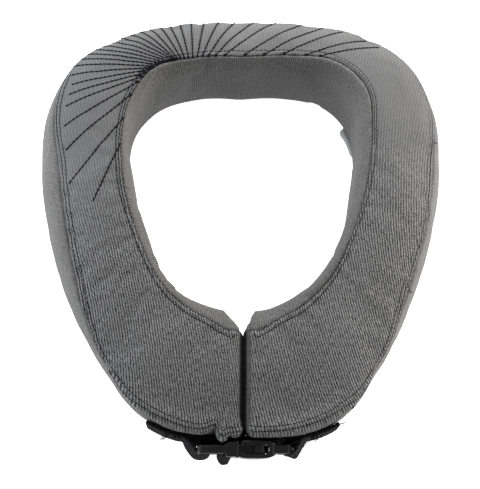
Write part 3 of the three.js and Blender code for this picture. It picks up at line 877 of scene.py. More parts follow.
def stitches(name, places, width):
    """Rice-grain stitches: each place is a middle, a length vector and the cloth's normal."""
    turn = np.linspace(0, 2 * np.pi, STITCH_SIDES, endpoint=False)
    grain = np.array([(along, size * np.cos(a), rise + STITCH_HEIGHT * size * np.sin(a))
                      for along, size, rise in STITCH_RINGS for a in turn])
    uv = np.array([(along, a / (2 * np.pi)) for along, _, _ in STITCH_RINGS for a in turn])
    middle, length, up = (np.array(part) for part in zip(*places))
    long = np.linalg.norm(length, axis=1)[:, None]
    ahead = length / long
    up = unit(up - np.sum(up * ahead, axis=1)[:, None] * ahead)
    aside = np.cross(up, ahead)
    half = np.broadcast_to(width, len(places))[:, None, None] / 2
    along, across, rise = grain[None, :, :1], grain[None, :, 1:2], STITCH_LIFT + grain[None, :, 2:]
    points = (middle[:, None] + along * length[:, None]
              + half * across * aside[:, None] + half * rise * up[:, None])
    rings, sides = len(STITCH_RINGS), STITCH_SIDES
    body = grid_faces(rings, sides, closed=True)
    tips = np.stack([np.arange(sides), np.arange(sides) + (rings - 1) * sides])
    shift = (np.arange(len(middle)) * rings * sides)[:, None, None]
    faces = (body[None] + shift).reshape(-1, 4)
    ends = (tips[None] + shift).reshape(-1, sides)
    turns = np.concatenate([uv * (size, 1) for size in long[:, 0]])
    return make_piece(name, points.reshape(-1, 3), faces, ends, turns / MM)


def stitch_line(points, ups, pitch, share=STITCH_SHARE):
    """Places of stitches along a line of points."""
    along = length_along(points)
    count = max(int(along[-1] / pitch), 1)
    step = along[-1] / count
    middle = (np.arange(count) + 0.5) * step
    half = share * step / 2
    reach = points_at(middle + half, along, points) - points_at(middle - half, along, points)
    return list(zip(points_at(middle, along, points), reach, points_at(middle, along, ups)))


def line_on(cover, name, distance, last=False):
    """The line on a panel at a distance in from its first or last seam, with the cloth's normals."""
    columns = cover.columns[name]
    reach = cover.from_last[name][:, ::-1] if last else cover.from_first[name]
    order = columns[::-1] if last else columns
    distance = np.broadcast_to(distance, len(cover.angle))
    points, ups = [], []
    for row in range(len(cover.angle)):
        at = np.interp(distance[row], reach[row], np.arange(len(order)))
        i = min(int(at), len(order) - 2)
        a, b = order[i], order[i + 1]
        points.append(cover.outer[row, a] * (1 - at + i) + cover.outer[row, b] * (at - i))
        ups.append(cover.normals[row, a])
    return np.array(points), np.array(ups)


def row_at(cover, turn):
    """The grid's row that is nearest to a turn from the left front."""
    return int(np.argmin(np.abs(cover.turn - turn)))


# Straps

ROUTE_STEPS = 24
SEWN_POINTS = 7
BAR_POINTS = 9


def smooth_route(points, count):
    """A smooth line through rows that start with x and y, cut into equal steps in plan."""
    p = np.array(points, float)
    q = np.vstack([2 * p[0] - p[1], p, 2 * p[-1] - p[-2]])
    step = np.sqrt(np.linalg.norm(np.diff(q[:, :2], axis=0), axis=1))
    t = np.linspace(0, 1, ROUTE_STEPS, endpoint=False)[:, None]
    fine = []
    for i in range(1, len(q) - 2):
        before, here, after = step[i - 1], step[i], step[i + 1]
        a, b = q[i], q[i + 1]
        da = here * ((a - q[i - 1]) / before - (b - q[i - 1]) / (before + here) + (b - a) / here)
        db = here * ((b - a) / here - (q[i + 2] - a) / (here + after) + (q[i + 2] - b) / after)
        fine.append(a + t * (da + t * (3 * (b - a) - 2 * da - db + t * (2 * (a - b) + da + db))))
    fine = np.vstack([*fine, p[-1:]])
    along = length_along(fine[:, :2])
    at = np.linspace(0, along[-1], count)
    return points_at(at, along, fine), at


def sewn_stretch(side, start, end, thickness, leaning=SEWN_LEAN):
    """Rows of a route along the outer band: place and lean in plan, and thickness."""
    angle = np.linspace(start, end, SEWN_POINTS)
    thickness = np.broadcast_to(thickness, SEWN_POINTS)
    swell = rows_at(STRAP_SWELL, angle if side < 0 else 360 - angle)[0]
    radius = section_at(angle, float(side))["belly"] + swell + STANDOFF + thickness / 2
    places = in_place(radius, 0.0, angle, float(side))
    lean = math.sin(leaning)
    return [(x, y, lean * side * math.sin(a), -lean * math.cos(a), thick)
            for (x, y, _), a, thick in zip(places, np.radians(angle), thickness)]


def round_bar(bar, start, end, thickness):
    """Rows of a route round a bar of the buckle."""
    x, radius = bar
    radius += BAR_GAP + thickness / 2
    y, lean = BUCKLE_PLANE + NECK_CENTRE_Y, -math.sin(BUCKLE_LEAN)
    return [(x + radius * math.cos(t), y + radius * math.sin(t), 0, lean, thickness)
            for t in np.radians(np.linspace(start, end, BAR_POINTS))]


def free_stretch(rows):
    """Rows of a route that hangs free, given from the buckle's plane."""
    return [(x, BUCKLE_PLANE + NECK_CENTRE_Y - forward, lean_x, lean_y, SEWN_THICKNESS)
            for x, forward, lean_x, lean_y in rows]


def strap_route(strap, thickness):
    """Route of a strap from its sewn end to its loose end, as places and leans in plan."""
    return [*sewn_stretch(strap["side"], *strap["sewn"], SEWN_THICKNESS), *free_stretch(strap["lead"]),
            *round_bar(strap["bar"], *strap["round"], thickness), *free_stretch(strap["tail"])]


STRAP_STEPS = 200
STRIP_STEPS = 90

# Section of the webbing, with small cords along both of its edges
WEBBING = {"sides": 36, "edges": 0.3, "faces": 0.45, "inset": 0.1, "cords_from": 0.86, "cord_depth": 0.2,
           "cord_pitch": 1.6, "narrowing": 0.12}


def webbing_rings(route, width, steps=STRAP_STEPS):
    """Rings of a woven band along a route, with corded edges, and its own directions at each ring."""
    line, at = smooth_route(route, steps)
    w = WEBBING
    centre = np.column_stack([line[:, :2], np.full(len(line), STRAP_Z)])
    ahead = unit(np.gradient(centre, axis=0))
    up = unit(np.column_stack([line[:, 2:4], np.ones(len(line))]))
    face = unit(np.cross(up, ahead))
    turn = np.linspace(0, 2 * np.pi, w["sides"], endpoint=False)
    across = np.sign(np.cos(turn)) * np.abs(np.cos(turn)) ** w["edges"]
    through = np.sign(np.sin(turn)) * np.abs(np.sin(turn)) ** w["faces"]
    edge = np.clip((np.abs(across) - w["cords_from"]) / (1 - w["cords_from"]), 0, 1)
    cords = (1 + np.sin(2 * np.pi * at / w["cord_pitch"]))[:, None] / 2
    cord = 1 - w["cord_depth"] * edge[None, :] * cords
    wide = (width / 2 - w["inset"]) * across[None, :] * (1 - w["narrowing"] * (1 - cord))
    rings = (centre[:, None] + wide[..., None] * up[:, None]
             + (line[:, 4:] / 2 * through[None, :] * cord)[..., None] * face[:, None])
    uv = np.stack(np.broadcast_arrays(at[:, None], width / 2 * across[None, :]), axis=-1)
    return rings, uv.reshape(-1, 2), ahead, face, up


# A loose yarn, with a direction that none of them runs in
YARN = {"sides": 5, "steps": 7, "bend": 0.5, "taper": 0.45, "apart": (0.3, 0.2, 0.9)}


def yarn_tubes(name, starts, seed):
    """Frayed yarn ends: each start is a place, a direction, a length and a radius."""
    random = np.random.default_rng(seed)
    sides, steps = YARN["sides"], YARN["steps"]
    turn = np.linspace(0, 2 * np.pi, sides, endpoint=False)[None, :, None]
    points, faces, ends = [], [], []
    for place, ahead, reach, radius in starts:
        bend = random.normal(0, YARN["bend"], 3)
        t = np.linspace(0, 1, steps)[:, None]
        path = place + reach * (t * ahead + t**2 * bend)
        path[:, 2] = np.maximum(path[:, 2], radius)
        along = unit(np.gradient(path, axis=0))
        aside = unit(np.cross(along, YARN["apart"]))
        other = np.cross(along, aside)
        taper = radius * (1 - YARN["taper"] * t)
        around = np.cos(turn) * aside[:, None] + np.sin(turn) * other[:, None]
        ring = path[:, None] + taper[:, None] * around
        shift = len(points) * sides * steps
        faces.append(grid_faces(steps, sides, closed=True) + shift)
        ends += [np.arange(sides) + shift, np.arange(sides) + shift + (steps - 1) * sides]
        points.append(ring.reshape(-1, 3))
    return make_piece(name, np.concatenate(points), np.concatenate(faces), ends)


# Node groups and materials

def feed(tree, socket, value):
    """Links another node's output into a socket, or sets the socket to a plain value."""
    if isinstance(value, bpy.types.NodeSocket):
        tree.links.new(value, socket)
    else:
        socket.default_value = value


def add(tree, kind, inputs=None, **settings):
    """A node with its settings, and inputs by name or number that are values or other nodes' outputs."""
    made = tree.nodes.new(kind)
    for name, value in settings.items():
        setattr(made, name, value)
    for key, value in (inputs or {}).items():
        feed(tree, made.inputs[key], value)
    return made


def maths(tree, operation, *values):
    return add(tree, "ShaderNodeMath", dict(enumerate(values)), operation=operation).outputs[0]


def map_range(tree, value, low, high, new_low=0.0, new_high=1.0, **settings):
    inputs = {0: value, 1: low, 2: high, 3: new_low, 4: new_high}
    return add(tree, "ShaderNodeMapRange", inputs, **settings).outputs[0]


BAR_SLOPE = 0.6


def rounded_bars(tree, count):
    """Rounded bars between 0 and 1, one for each whole step of a count."""
    wave = maths(tree, "SINE", maths(tree, "MULTIPLY", count, 2 * math.pi))
    return map_range(tree, wave, -BAR_SLOPE, BAR_SLOPE, interpolation_type="SMOOTHSTEP")


def new_group(name, inputs, outputs):
    """An empty shader group with named sockets, with its input and output nodes."""
    tree = bpy.data.node_groups.new(name, "ShaderNodeTree")
    for socket, default in inputs.items():
        kind = "NodeSocketVector" if default is None else "NodeSocketFloat"
        made = tree.interface.new_socket(name=socket, in_out="INPUT", socket_type=kind)
        if default is not None:
            made.default_value = default
    for socket in outputs:
        tree.interface.new_socket(name=socket, in_out="OUTPUT", socket_type="NodeSocketFloat")
    return tree, tree.nodes.new("NodeGroupInput").outputs, tree.nodes.new("NodeGroupOutput").inputs


# How the yarns of a weave drift, and how their floats start apart
WEAVE = {"drift": 210, "turn_over": 0.25, "chance": 0.6, "step": 0.5}


@functools.lru_cache(maxsize=None)
def weave_group():
    """Ridges across X, broken into floats along Y that step from ridge to ridge."""
    inputs = {"Vector": None, "Ridge Pitch": 0.001, "Float Length": 0.001, "Float Share": 0.5, "Waver": 0.2}
    tree, given, made = new_group("Weave", inputs, ("Height",))
    split = add(tree, "ShaderNodeSeparateXYZ", {0: given["Vector"]}).outputs
    noise = {"Vector": given["Vector"], "Scale": WEAVE["drift"], "Detail": 3}
    drift = add(tree, "ShaderNodeTexNoise", noise).outputs[0]
    drift = maths(tree, "MULTIPLY", maths(tree, "SUBTRACT", drift, 0.5), given["Waver"])
    ridge = maths(tree, "ADD", maths(tree, "DIVIDE", split["X"], given["Ridge Pitch"]), drift)
    number = maths(tree, "FLOOR", maths(tree, "ADD", ridge, WEAVE["turn_over"]))
    chance = add(tree, "ShaderNodeTexWhiteNoise", {"W": number}, noise_dimensions="1D").outputs["Value"]
    floats = maths(tree, "DIVIDE", split["Y"], given["Float Length"])
    floats = maths(tree, "ADD", floats, maths(tree, "MULTIPLY", chance, WEAVE["chance"]))
    floats = maths(tree, "ADD", floats, maths(tree, "MULTIPLY", ridge, WEAVE["step"]))
    floats = maths(tree, "ADD", floats, drift)
    ridges = rounded_bars(tree, ridge)
    broken = maths(tree, "MULTIPLY", ridges, rounded_bars(tree, floats))
    whole = maths(tree, "MULTIPLY", ridges, maths(tree, "SUBTRACT", 1.0, given["Float Share"]))
    height = maths(tree, "ADD", whole, maths(tree, "MULTIPLY", broken, given["Float Share"]))
    tree.links.new(height, made["Height"])
    return tree


# What part of the noise's range the flecks and the patches of tone take up
FLECK_RANGE = (0.32, 0.68)
PATCH_RANGE = (0.3, 0.7)


@functools.lru_cache(maxsize=None)
def heather_group():
    """Flecks of lighter and darker fibre, longer along Y than across."""
    inputs = {"Vector": None, "Fleck Width": 0.001, "Fleck Length": 0.004}
    tree, given, made = new_group("Heather", inputs, ("Fleck",))
    split = add(tree, "ShaderNodeSeparateXYZ", {0: given["Vector"]}).outputs
    x = maths(tree, "DIVIDE", split["X"], given["Fleck Width"])
    y = maths(tree, "DIVIDE", split["Y"], given["Fleck Length"])
    place = add(tree, "ShaderNodeCombineXYZ", {0: x, 1: y, 2: split["Z"]}).outputs[0]
    noise = add(tree, "ShaderNodeTexNoise", {"Vector": place, "Scale": 1.0, "Detail": 3, "Roughness": 0.65})
    tree.links.new(map_range(tree, noise.outputs[0], *FLECK_RANGE), made["Fleck"])
    return tree


@functools.lru_cache(maxsize=None)
def soft_tone_group():
    """Slow, broad variation of tone, as handling and dust leave it."""
    inputs = {"Vector": None, "Patch Size": 0.04, "Low": 0.9, "High": 1.1}
    tree, given, made = new_group("Soft Tone", inputs, ("Tone",))
    scale = maths(tree, "DIVIDE", 1.0, given["Patch Size"])
    noise = add(tree, "ShaderNodeTexNoise", {"Vector": given["Vector"], "Scale": scale, "Detail": 4})
    tone = map_range(tree, noise.outputs[0], *PATCH_RANGE, given["Low"], given["High"])
    tree.links.new(tone, made["Tone"])
    return tree


def place_group(tree, group, **inputs):
    made = tree.nodes.new("ShaderNodeGroup")
    made.node_tree = group
    for name, value in inputs.items():
        feed(tree, made.inputs[name.replace("_", " ").title()], value)
    return made.outputs[0]


def new_material(name, values):
    """A material with a Principled shader whose plain values are set on its own sockets."""
    material = bpy.data.materials.new(name)
    material.use_nodes = True
    tree = material.node_tree
    shader = tree.nodes["Principled BSDF"]
    for key, value in values.items():
        shader.inputs[key].default_value = value
    return material, tree, shader


def mixed(tree, share, low, high):
    """A colour between two."""
    inputs = {"Factor": share, 6: (*low, 1), 7: (*high, 1)}
    return add(tree, "ShaderNodeMix", inputs, data_type="RGBA").outputs[2]


def toned(tree, colours, tone):
    """A colour made lighter or darker by a tone."""
    inputs = {"Factor": 1.0, 6: colours, 7: tone}
    return add(tree, "ShaderNodeMix", inputs, data_type="RGBA", blend_type="MULTIPLY").outputs[2]


def bumped(tree, shader, height, strength, distance):
    bump = add(tree, "ShaderNodeBump", {"Height": height, "Strength": strength, "Distance": distance})
    tree.links.new(bump.outputs[0], shader.inputs["Normal"])


def cut_of(tree):
    return add(tree, "ShaderNodeUVMap", uv_map="cut").outputs[0]


def object_place(tree):
    return tree.nodes.new("ShaderNodeTexCoord").outputs["Object"]


def object_axes(tree):
    return add(tree, "ShaderNodeSeparateXYZ", {0: object_place(tree)}).outputs


CLOTH_VALUES = {"Specular IOR Level": 0.12, "Sheen Weight": 0.06, "Sheen Roughness": 0.5}
BLACK_VALUES = {"Specular IOR Level": 0.05}

# What all woven materials share; a blend of weave and flecks that fades tends to its faded value
WOVEN = {"tone": (0.93, 1.07), "blend": (0.12, 0.88), "rough": (0.95, 0.8), "fleck": (0.8, 2.2),
         "fleck_relief": 0.4, "relief": 0.2, "faded": 0.46, "slant": -0.3}


def woven_material(name, dark, light, pitch, length, share, waver, fleck_share, strength, values=CLOTH_VALUES,
                   fade=None, fleck_size=None):
    """Cloth with its own weave, heathered yarn and soft changes of tone; the weave may fade along Y."""
    material, tree, shader = new_material(name, values)
    cut, w = cut_of(tree), WOVEN
    weave = place_group(tree, weave_group(), vector=cut, ridge_pitch=pitch, float_length=length,
                        float_share=share, waver=waver)
    width, reach = fleck_size or (w["fleck"][0] * pitch, w["fleck"][1] * length)
    fleck = place_group(tree, heather_group(), vector=cut, fleck_width=width, fleck_length=reach)
    low, high = w["tone"]
    tone = place_group(tree, soft_tone_group(), vector=object_place(tree), low=low, high=high)
    blend = maths(tree, "ADD", maths(tree, "MULTIPLY", weave, 1 - fleck_share),
                  maths(tree, "MULTIPLY", fleck, fleck_share))
    blend = map_range(tree, blend, *w["blend"])
    if fade:
        start, end, rest = fade
        axes = object_axes(tree)
        left = maths(tree, "MINIMUM", axes["X"], 0.0)
        along = maths(tree, "MULTIPLY_ADD", left, w["slant"], axes["Y"])
        keep = map_range(tree, along, start, end, 1.0, rest)
        blend = maths(tree, "MULTIPLY_ADD", maths(tree, "SUBTRACT", blend, w["faded"]), keep, w["faded"])
        weave = maths(tree, "MULTIPLY", weave, keep)
        fleck = maths(tree, "MULTIPLY", fleck, keep)
    tree.links.new(toned(tree, mixed(tree, blend, dark, light), tone), shader.inputs["Base Color"])
    tree.links.new(map_range(tree, blend, 0.0, 1.0, *w["rough"]), shader.inputs["Roughness"])
    relief = maths(tree, "ADD", weave, maths(tree, "MULTIPLY", fleck, w["fleck_relief"]))
    bumped(tree, shader, relief, strength, w["relief"] * pitch)
    return material


@functools.lru_cache(maxsize=None)
def ribbed_cloth():
    sizes, colours = bpy.context.scene.collar_sizes, bpy.context.scene.collar_colours
    pitch = sizes.rib_pitch
    return woven_material("ribbed cloth", colours.rib_dark, colours.rib_light, pitch, 1.25 * pitch, share=0.4,
                          waver=0.9, fleck_share=0.46, strength=0.8, fade=(0, 84 * MM, 0.2),
                          fleck_size=(0.55 * pitch, 1.7 * pitch))


@functools.lru_cache(maxsize=None)
def plain_cloth(name="plain cloth", fleck_size=(1.2 * MM, 3 * MM)):
    sizes, colours = bpy.context.scene.collar_sizes, bpy.context.scene.collar_colours
    pitch = sizes.weave_pitch
    return woven_material(name, colours.plain_dark, colours.plain_light, pitch, 1.6 * pitch, share=0.6,
                          waver=0.5, fleck_share=0.5, strength=0.5, fleck_size=fleck_size)


def painted_shade(material, place, reach, shades):
    """Paints shade into the colour of a cloth, from one tone to another over a reach of a place on it."""
    tree = material.node_tree
    base = tree.nodes["Principled BSDF"].inputs["Base Color"]
    shade = map_range(tree, place, *reach, *shades)
    tree.links.new(toned(tree, base.links[0].from_socket, shade), base)
    return material


@functools.lru_cache(maxsize=None)
def neck_cloth():
    """The plain cloth of the neck panel, with painted shade that makes it a little darker on the roll at the
    front.
    """
    material = plain_cloth("neck cloth")
    along = object_axes(material.node_tree)["Y"]
    return painted_shade(material, along, (-40 * MM, 45 * MM), (0.8, 1.0))


@functools.lru_cache(maxsize=None)
def end_cloth():
    """The plain cloth of the ends beside the slit, darkened all over by painted shade, all but black where
    both faces meet inside it.
    """
    material = plain_cloth("end cloth", None)
    across = maths(material.node_tree, "ABSOLUTE", object_axes(material.node_tree)["X"])
    return painted_shade(material, across, (1.5 * MM, 2.7 * MM), (0.03, 0.66))


@functools.lru_cache(maxsize=None)
def webbing_cloth():
    base = np.array(bpy.context.scene.collar_colours.webbing)
    return woven_material("webbing", base * 0.6, base * 1.7, 1.5 * MM, 2.6 * MM, share=0.7, waver=0.15,
                          fleck_share=0.25, strength=1.0, values=BLACK_VALUES)


@functools.lru_cache(maxsize=None)
def satin():
    base = np.array(bpy.context.scene.collar_colours.label)
    return woven_material("label satin", base * 0.9, base, 0.35 * MM, 1.4 * MM, share=0.4, waver=0.1,
                          fleck_share=0.3, strength=0.3)


def coloured(tree, shader, share, base, shades, tone):
    """Colours a shader between two shades of one colour, with changes of tone."""
    low, high = (np.array(base) * shade for shade in shades)
    tree.links.new(toned(tree, mixed(tree, share, low, high), tone), shader.inputs["Base Color"])


# Length of a strand's turn along a stitch in millimetres, and strands in the thread
TWIST_LENGTH = 1.1
STRANDS = 2


@functools.lru_cache(maxsize=None)
def stitching_thread():
    """Black thread with its twist along each stitch."""
    material, tree, shader = new_material("stitching thread", BLACK_VALUES)
    split = add(tree, "ShaderNodeSeparateXYZ", {0: cut_of(tree)}).outputs
    strands = maths(tree, "ADD", maths(tree, "MULTIPLY", split["X"], 1 / TWIST_LENGTH), split["Y"])
    twist = maths(tree, "SINE", maths(tree, "MULTIPLY", strands, 2 * math.pi * STRANDS))
    twist = maths(tree, "MULTIPLY_ADD", twist, 0.5, 0.5)
    place = object_place(tree)
    tone = place_group(tree, soft_tone_group(), vector=place, patch_size=4 * MM, low=0.8, high=1.2)
    coloured(tree, shader, twist, bpy.context.scene.collar_colours.thread, (0.5, 1.6), tone)
    tree.links.new(map_range(tree, twist, 0.0, 1.0, 0.75, 0.5), shader.inputs["Roughness"])
    bumped(tree, shader, twist, 0.6, 0.1 * MM)
    return material


@functools.lru_cache(maxsize=None)
def moulded_plastic():
    """Black nylon with a fine spark-eroded grain and slightly rubbed high spots."""
    material, tree, shader = new_material("buckle plastic", {"Specular IOR Level": 0.24})
    place = object_place(tree)
    grain = add(tree, "ShaderNodeTexNoise", {"Vector": place, "Scale": 4200, "Detail": 2}).outputs[0]
    tone = place_group(tree, soft_tone_group(), vector=place, patch_size=9 * MM, low=0.85, high=1.2)
    coloured(tree, shader, grain, bpy.context.scene.collar_colours.plastic, (0.8, 1.25), tone)
    rough = place_group(tree, soft_tone_group(), vector=place, patch_size=12 * MM, low=0.22, high=0.36)
    tree.links.new(rough, shader.inputs["Roughness"])
    bumped(tree, shader, grain, 0.12, 0.1 * MM)
    return material


@functools.lru_cache(maxsize=None)
def foam_cells():
    material, tree, shader = new_material("foam", {"Roughness": 1.0})
    place = object_place(tree)
    cells = add(tree, "ShaderNodeTexVoronoi", {"Vector": place, "Scale": 900}).outputs["Distance"]
    tone = place_group(tree, soft_tone_group(), vector=place, low=0.9, high=1.1)
    coloured(tree, shader, cells, bpy.context.scene.collar_colours.foam, (0.5, 1.4), tone)
    bumped(tree, shader, cells, 0.6, 0.8 * MM)
    return material


# Pieces


# The foam's rings: every so many rows and columns of the cover's grid, and turns round its ends
FOAM_ROW_SKIP = 3
FOAM_COLUMN_SKIP = 2
FOAM_TURNS = np.radians(np.linspace(0, 90, 7))


class MakeFoam(bpy.types.Operator):
    """Fills the cover with one foam ring, open at the slit"""
    bl_idname = "collar.make_foam"
    bl_label = "Foam"

    def execute(self, context):
        cover = sewn_cover()
        depth = context.scene.collar_sizes.cloth / MM + FOAM_GAP
        spaced = np.arange(0, cover.base.shape[1], FOAM_COLUMN_SKIP)
        columns = np.unique(np.append(spaced, [c[0] for c in cover.columns.values()]))
        sunk = (neck_crease(cover) - depth)[..., None]
        rings = (cover.base + sunk * cover.normals)[cover.main][::FOAM_ROW_SKIP][:, columns]
        left, right = (end_rings(ring, side, FOAM_TURNS, depth)
                       for ring, side in ((cover.first_ring, -1), (cover.last_ring, 1)))
        rings = np.concatenate([left[:0:-1, columns], rings, right[1:, columns]])
        rings[..., 2] = np.maximum(rings[..., 2], depth)
        foam = lofted("foam_core_padding", rings)
        dressed(foam, foam_cells(), "foam", "foam_core")
        return {"FINISHED"}


class MakeCover(bpy.types.Operator):
    """Sews the top, outer, base and neck panels round the foam"""
    bl_idname = "collar.make_cover"
    bl_label = "Cover Panels"

    def execute(self, context):
        cover = sewn_cover()
        for name, columns in cover.columns.items():
            outer, inner = cover.outer[:, columns], cover.inner[:, columns]
            middle = columns[len(columns) // 2]
            planar, ribbed = name in ("top_panel", "base_panel"), name == "top_panel"
            along = cover.along[:, middle][:, None]
            strip = np.stack(np.broadcast_arrays(along, cover.from_first[name]), axis=-1)
            piece = walled(name + "_cloth", outer, inner, cover.grain_map() if ribbed else strip)
            cloth = {"top_panel": ribbed_cloth, "neck_panel": neck_cloth}.get(name, plain_cloth)
            dressed(piece, cloth(), "ribbed_cloth" if ribbed else "plain_cloth", name)
        return {"FINISHED"}


# Rows of the end panels, and rings of their flat faces, which swell by some millimetres
END_ROWS = {-1: 4, 1: 9}
SETTLE_ROWS = 4
FACE_STEPS = 12
FACE_REACH = 0.96
FACE_SWELL = 1.93
SWELL_START = 0.6
SWELL_RISE = 2.8


class MakeEndPanels(bpy.types.Operator):
    """Closes both ends beside the slit with a rounded panel"""
    bl_idname = "collar.make_end_panels"
    bl_label = "End Panels"

    def execute(self, context):
        cover = sewn_cover()
        thickness = context.scene.collar_sizes.cloth / MM
        for side, name in ((-1, "end_panel_left"), (1, "end_panel_right")):
            row = 0 if side < 0 else -1
            ring = cover.first_ring if side < 0 else cover.last_ring
            turns = np.linspace(END_TURNS[side][-1], math.pi / 2, END_ROWS[side])
            outer, inner = end_rings(ring, side, turns), end_rings(ring, side, turns, thickness)
            settle = np.linspace(1, 0, SETTLE_ROWS)[:, None, None]
            outer[:SETTLE_ROWS] += settle * (cover.outer[row] - outer[0])
            inner[:SETTLE_ROWS] += settle * (cover.inner[row] - inner[0])
            faces = [self.face(grid, side) for grid in (outer, inner)]
            outer, inner = (np.concatenate([grid, face]) for grid, face in zip((outer, inner), faces))
            outer[..., 2] = np.maximum(outer[..., 2], FLOOR_GAP)
            piece = self.closed(name + "_cloth", outer, inner)
            dressed(piece, end_cloth(), "plain_cloth", name)
        return {"FINISHED"}

    @staticmethod
    def face(grid, side):
        """Rings that close the flat face, which swells deep inside the slit until both sides all but meet."""
        last = grid[-1]
        middle = last.mean(axis=0)
        share = np.linspace(0, FACE_REACH, FACE_STEPS + 1)[1:, None, None]
        rings = last + share * (middle - last)
        inside = np.clip((np.linalg.norm(rings - last, axis=-1) - SWELL_START) / SWELL_RISE, 0, 1)
        rings[..., 0] -= side * FACE_SWELL * inside**2 * (3 - 2 * inside)
        return rings

    @staticmethod
    def closed(name, outer, inner):
        """A closed wall of cloth between two rounded faces."""
        rows, columns = outer.shape[:2]
        count = rows * columns
        faces = grid_faces(rows, columns, closed=True)
        edge = np.arange(columns)
        after = np.roll(edge, -1)
        hems = [*np.stack([edge, after, after + count, edge + count], axis=-1)]
        last = edge + (rows - 1) * columns
        points = np.concatenate([outer.reshape(-1, 3), inner.reshape(-1, 3)])
        return make_piece(name, points, [*faces, *(faces + count), last, last + count], hems, points[:, 1:])


# X in mm and the share of the thread's width that shows: the rows on the right are drawn into the cloth
FINE_ROWS = ((30, 70), (1.0, 0.74))

# The slanting stitches at the slit, in millimetres from the rim seam and rows past either end
END_TICK = {"outer": 6.0, "inner": 0.6, "rows": (-6, 3), "lift": 0.2}

# Bars of thread across the outer seam, in millimetres from it, and loose ends of thread
BAR_TACK = {"middle": 0.4, "inside": 3.0, "below": 2.0, "half": 1.1, "stitches": 5, "lift": 0.5}
THREAD_END = {"lift": 0.3, "share": 0.8}


class MakeSeamStitches(bpy.types.Operator):
    """Lays the black rows of stitches beside the rim seam and the outer seam, and two bar tacks"""
    bl_idname = "collar.make_seam_stitches"
    bl_label = "Seam Stitches"

    def execute(self, context):
        cover, sizes = sewn_cover(), context.scene.collar_sizes
        pitch, width = sizes.stitch / MM, sizes.thread / MM
        rim, outer = [], []
        rim_rows = [(RIM_ROW, 0, 360), (rows_at(SECOND_RIM_ROW, cover.turn)[0], 0, 360),
                    *[(SIDE_ROW, start, end) for start, end in SIDE_ROW_STRETCHES]]
        for distance, start, end in rim_rows:
            points, ups = (part[cover.main] for part in line_on(cover, "top_panel", distance))
            stretch = (cover.turn[cover.main] >= start) & (cover.turn[cover.main] <= end)
            rim += stitch_line(points[stretch], ups[stretch], pitch)
        rim += self.end_ticks(cover)
        outer += stitch_line(*line_on(cover, "top_panel", OUTER_ROWS[0], last=True), pitch)
        points, ups = line_on(cover, "top_panel", OUTER_ROWS[1], last=True)
        for start, end in SECOND_OUTER_ROW_STRETCHES:
            stretch = (cover.turn >= start) & (cover.turn <= end)
            outer += stitch_line(points[stretch], ups[stretch], pitch)
        for name, places in (("rim_stitches", rim), ("outer_seam_stitches", outer)):
            drawn_in = np.interp([middle[0] for middle, _, _ in places], *FINE_ROWS)
            dressed(stitches(name, places, width * drawn_in), stitching_thread(), "webbing")
        dressed(stitches("bar_tacks", self.tacks(cover), width), stitching_thread(), "webbing")
        return {"FINISHED"}

    @staticmethod
    def end_ticks(cover):
        """The short slanting stitches that end the rim rows at either side of the slit."""
        outer, ups = line_on(cover, "top_panel", END_TICK["outer"])
        inner, _ = line_on(cover, "top_panel", END_TICK["inner"])
        places = []
        for row, past in zip((cover.main.start, cover.main.stop - 1), END_TICK["rows"]):
            start, end = outer[row], inner[row + past]
            places.append(((start + end) / 2 + END_TICK["lift"] * ups[row], end - start, ups[row]))
        return places

    @staticmethod
    def tacks(cover):
        """Short dense bars of thread across the outer seam."""
        points, ups = line_on(cover, "top_panel", BAR_TACK["middle"], last=True)
        inside, _ = line_on(cover, "top_panel", BAR_TACK["inside"], last=True)
        below, _ = line_on(cover, "outer_band", BAR_TACK["below"])
        places = []
        for row in (row_at(cover, turn) for turn in BAR_TACKS):
            ahead = unit(points[row + 1] - points[row - 1])
            for shift in np.linspace(-BAR_TACK["half"], BAR_TACK["half"], BAR_TACK["stitches"]):
                place = points[row] + shift * ahead + BAR_TACK["lift"] * ups[row]
                places.append((place, below[row] - inside[row], ups[row]))
        for row in (row_at(cover, turn) for turn in THREAD_ENDS):
            reach = THREAD_END["share"] * (below[row] - inside[row])
            places.append((below[row] + THREAD_END["lift"] * ups[row], reach, ups[row]))
        return places


# Length of the tacks that start the rays, by their place from left to right
TACK_REACH = ((-76, -70, -62, -45), (1.6, 4.0, 4.4, 2.2))

# The heavy stitches that start a ray, in millimetres and as shares of the ray's thread and their own length
TACK = {"width": 1.15, "towards": 4, "outwards": 0.7, "apart": 0.3, "ahead": 0.42, "lift": 0.2}

# Points along a ray, the height that they drop to the cloth from, and the rays' pitch and share of thread
RAY_POINTS = 40
DROP_FROM = 200
RAY_PITCH = 1.05
RAY_SHARE = 0.98


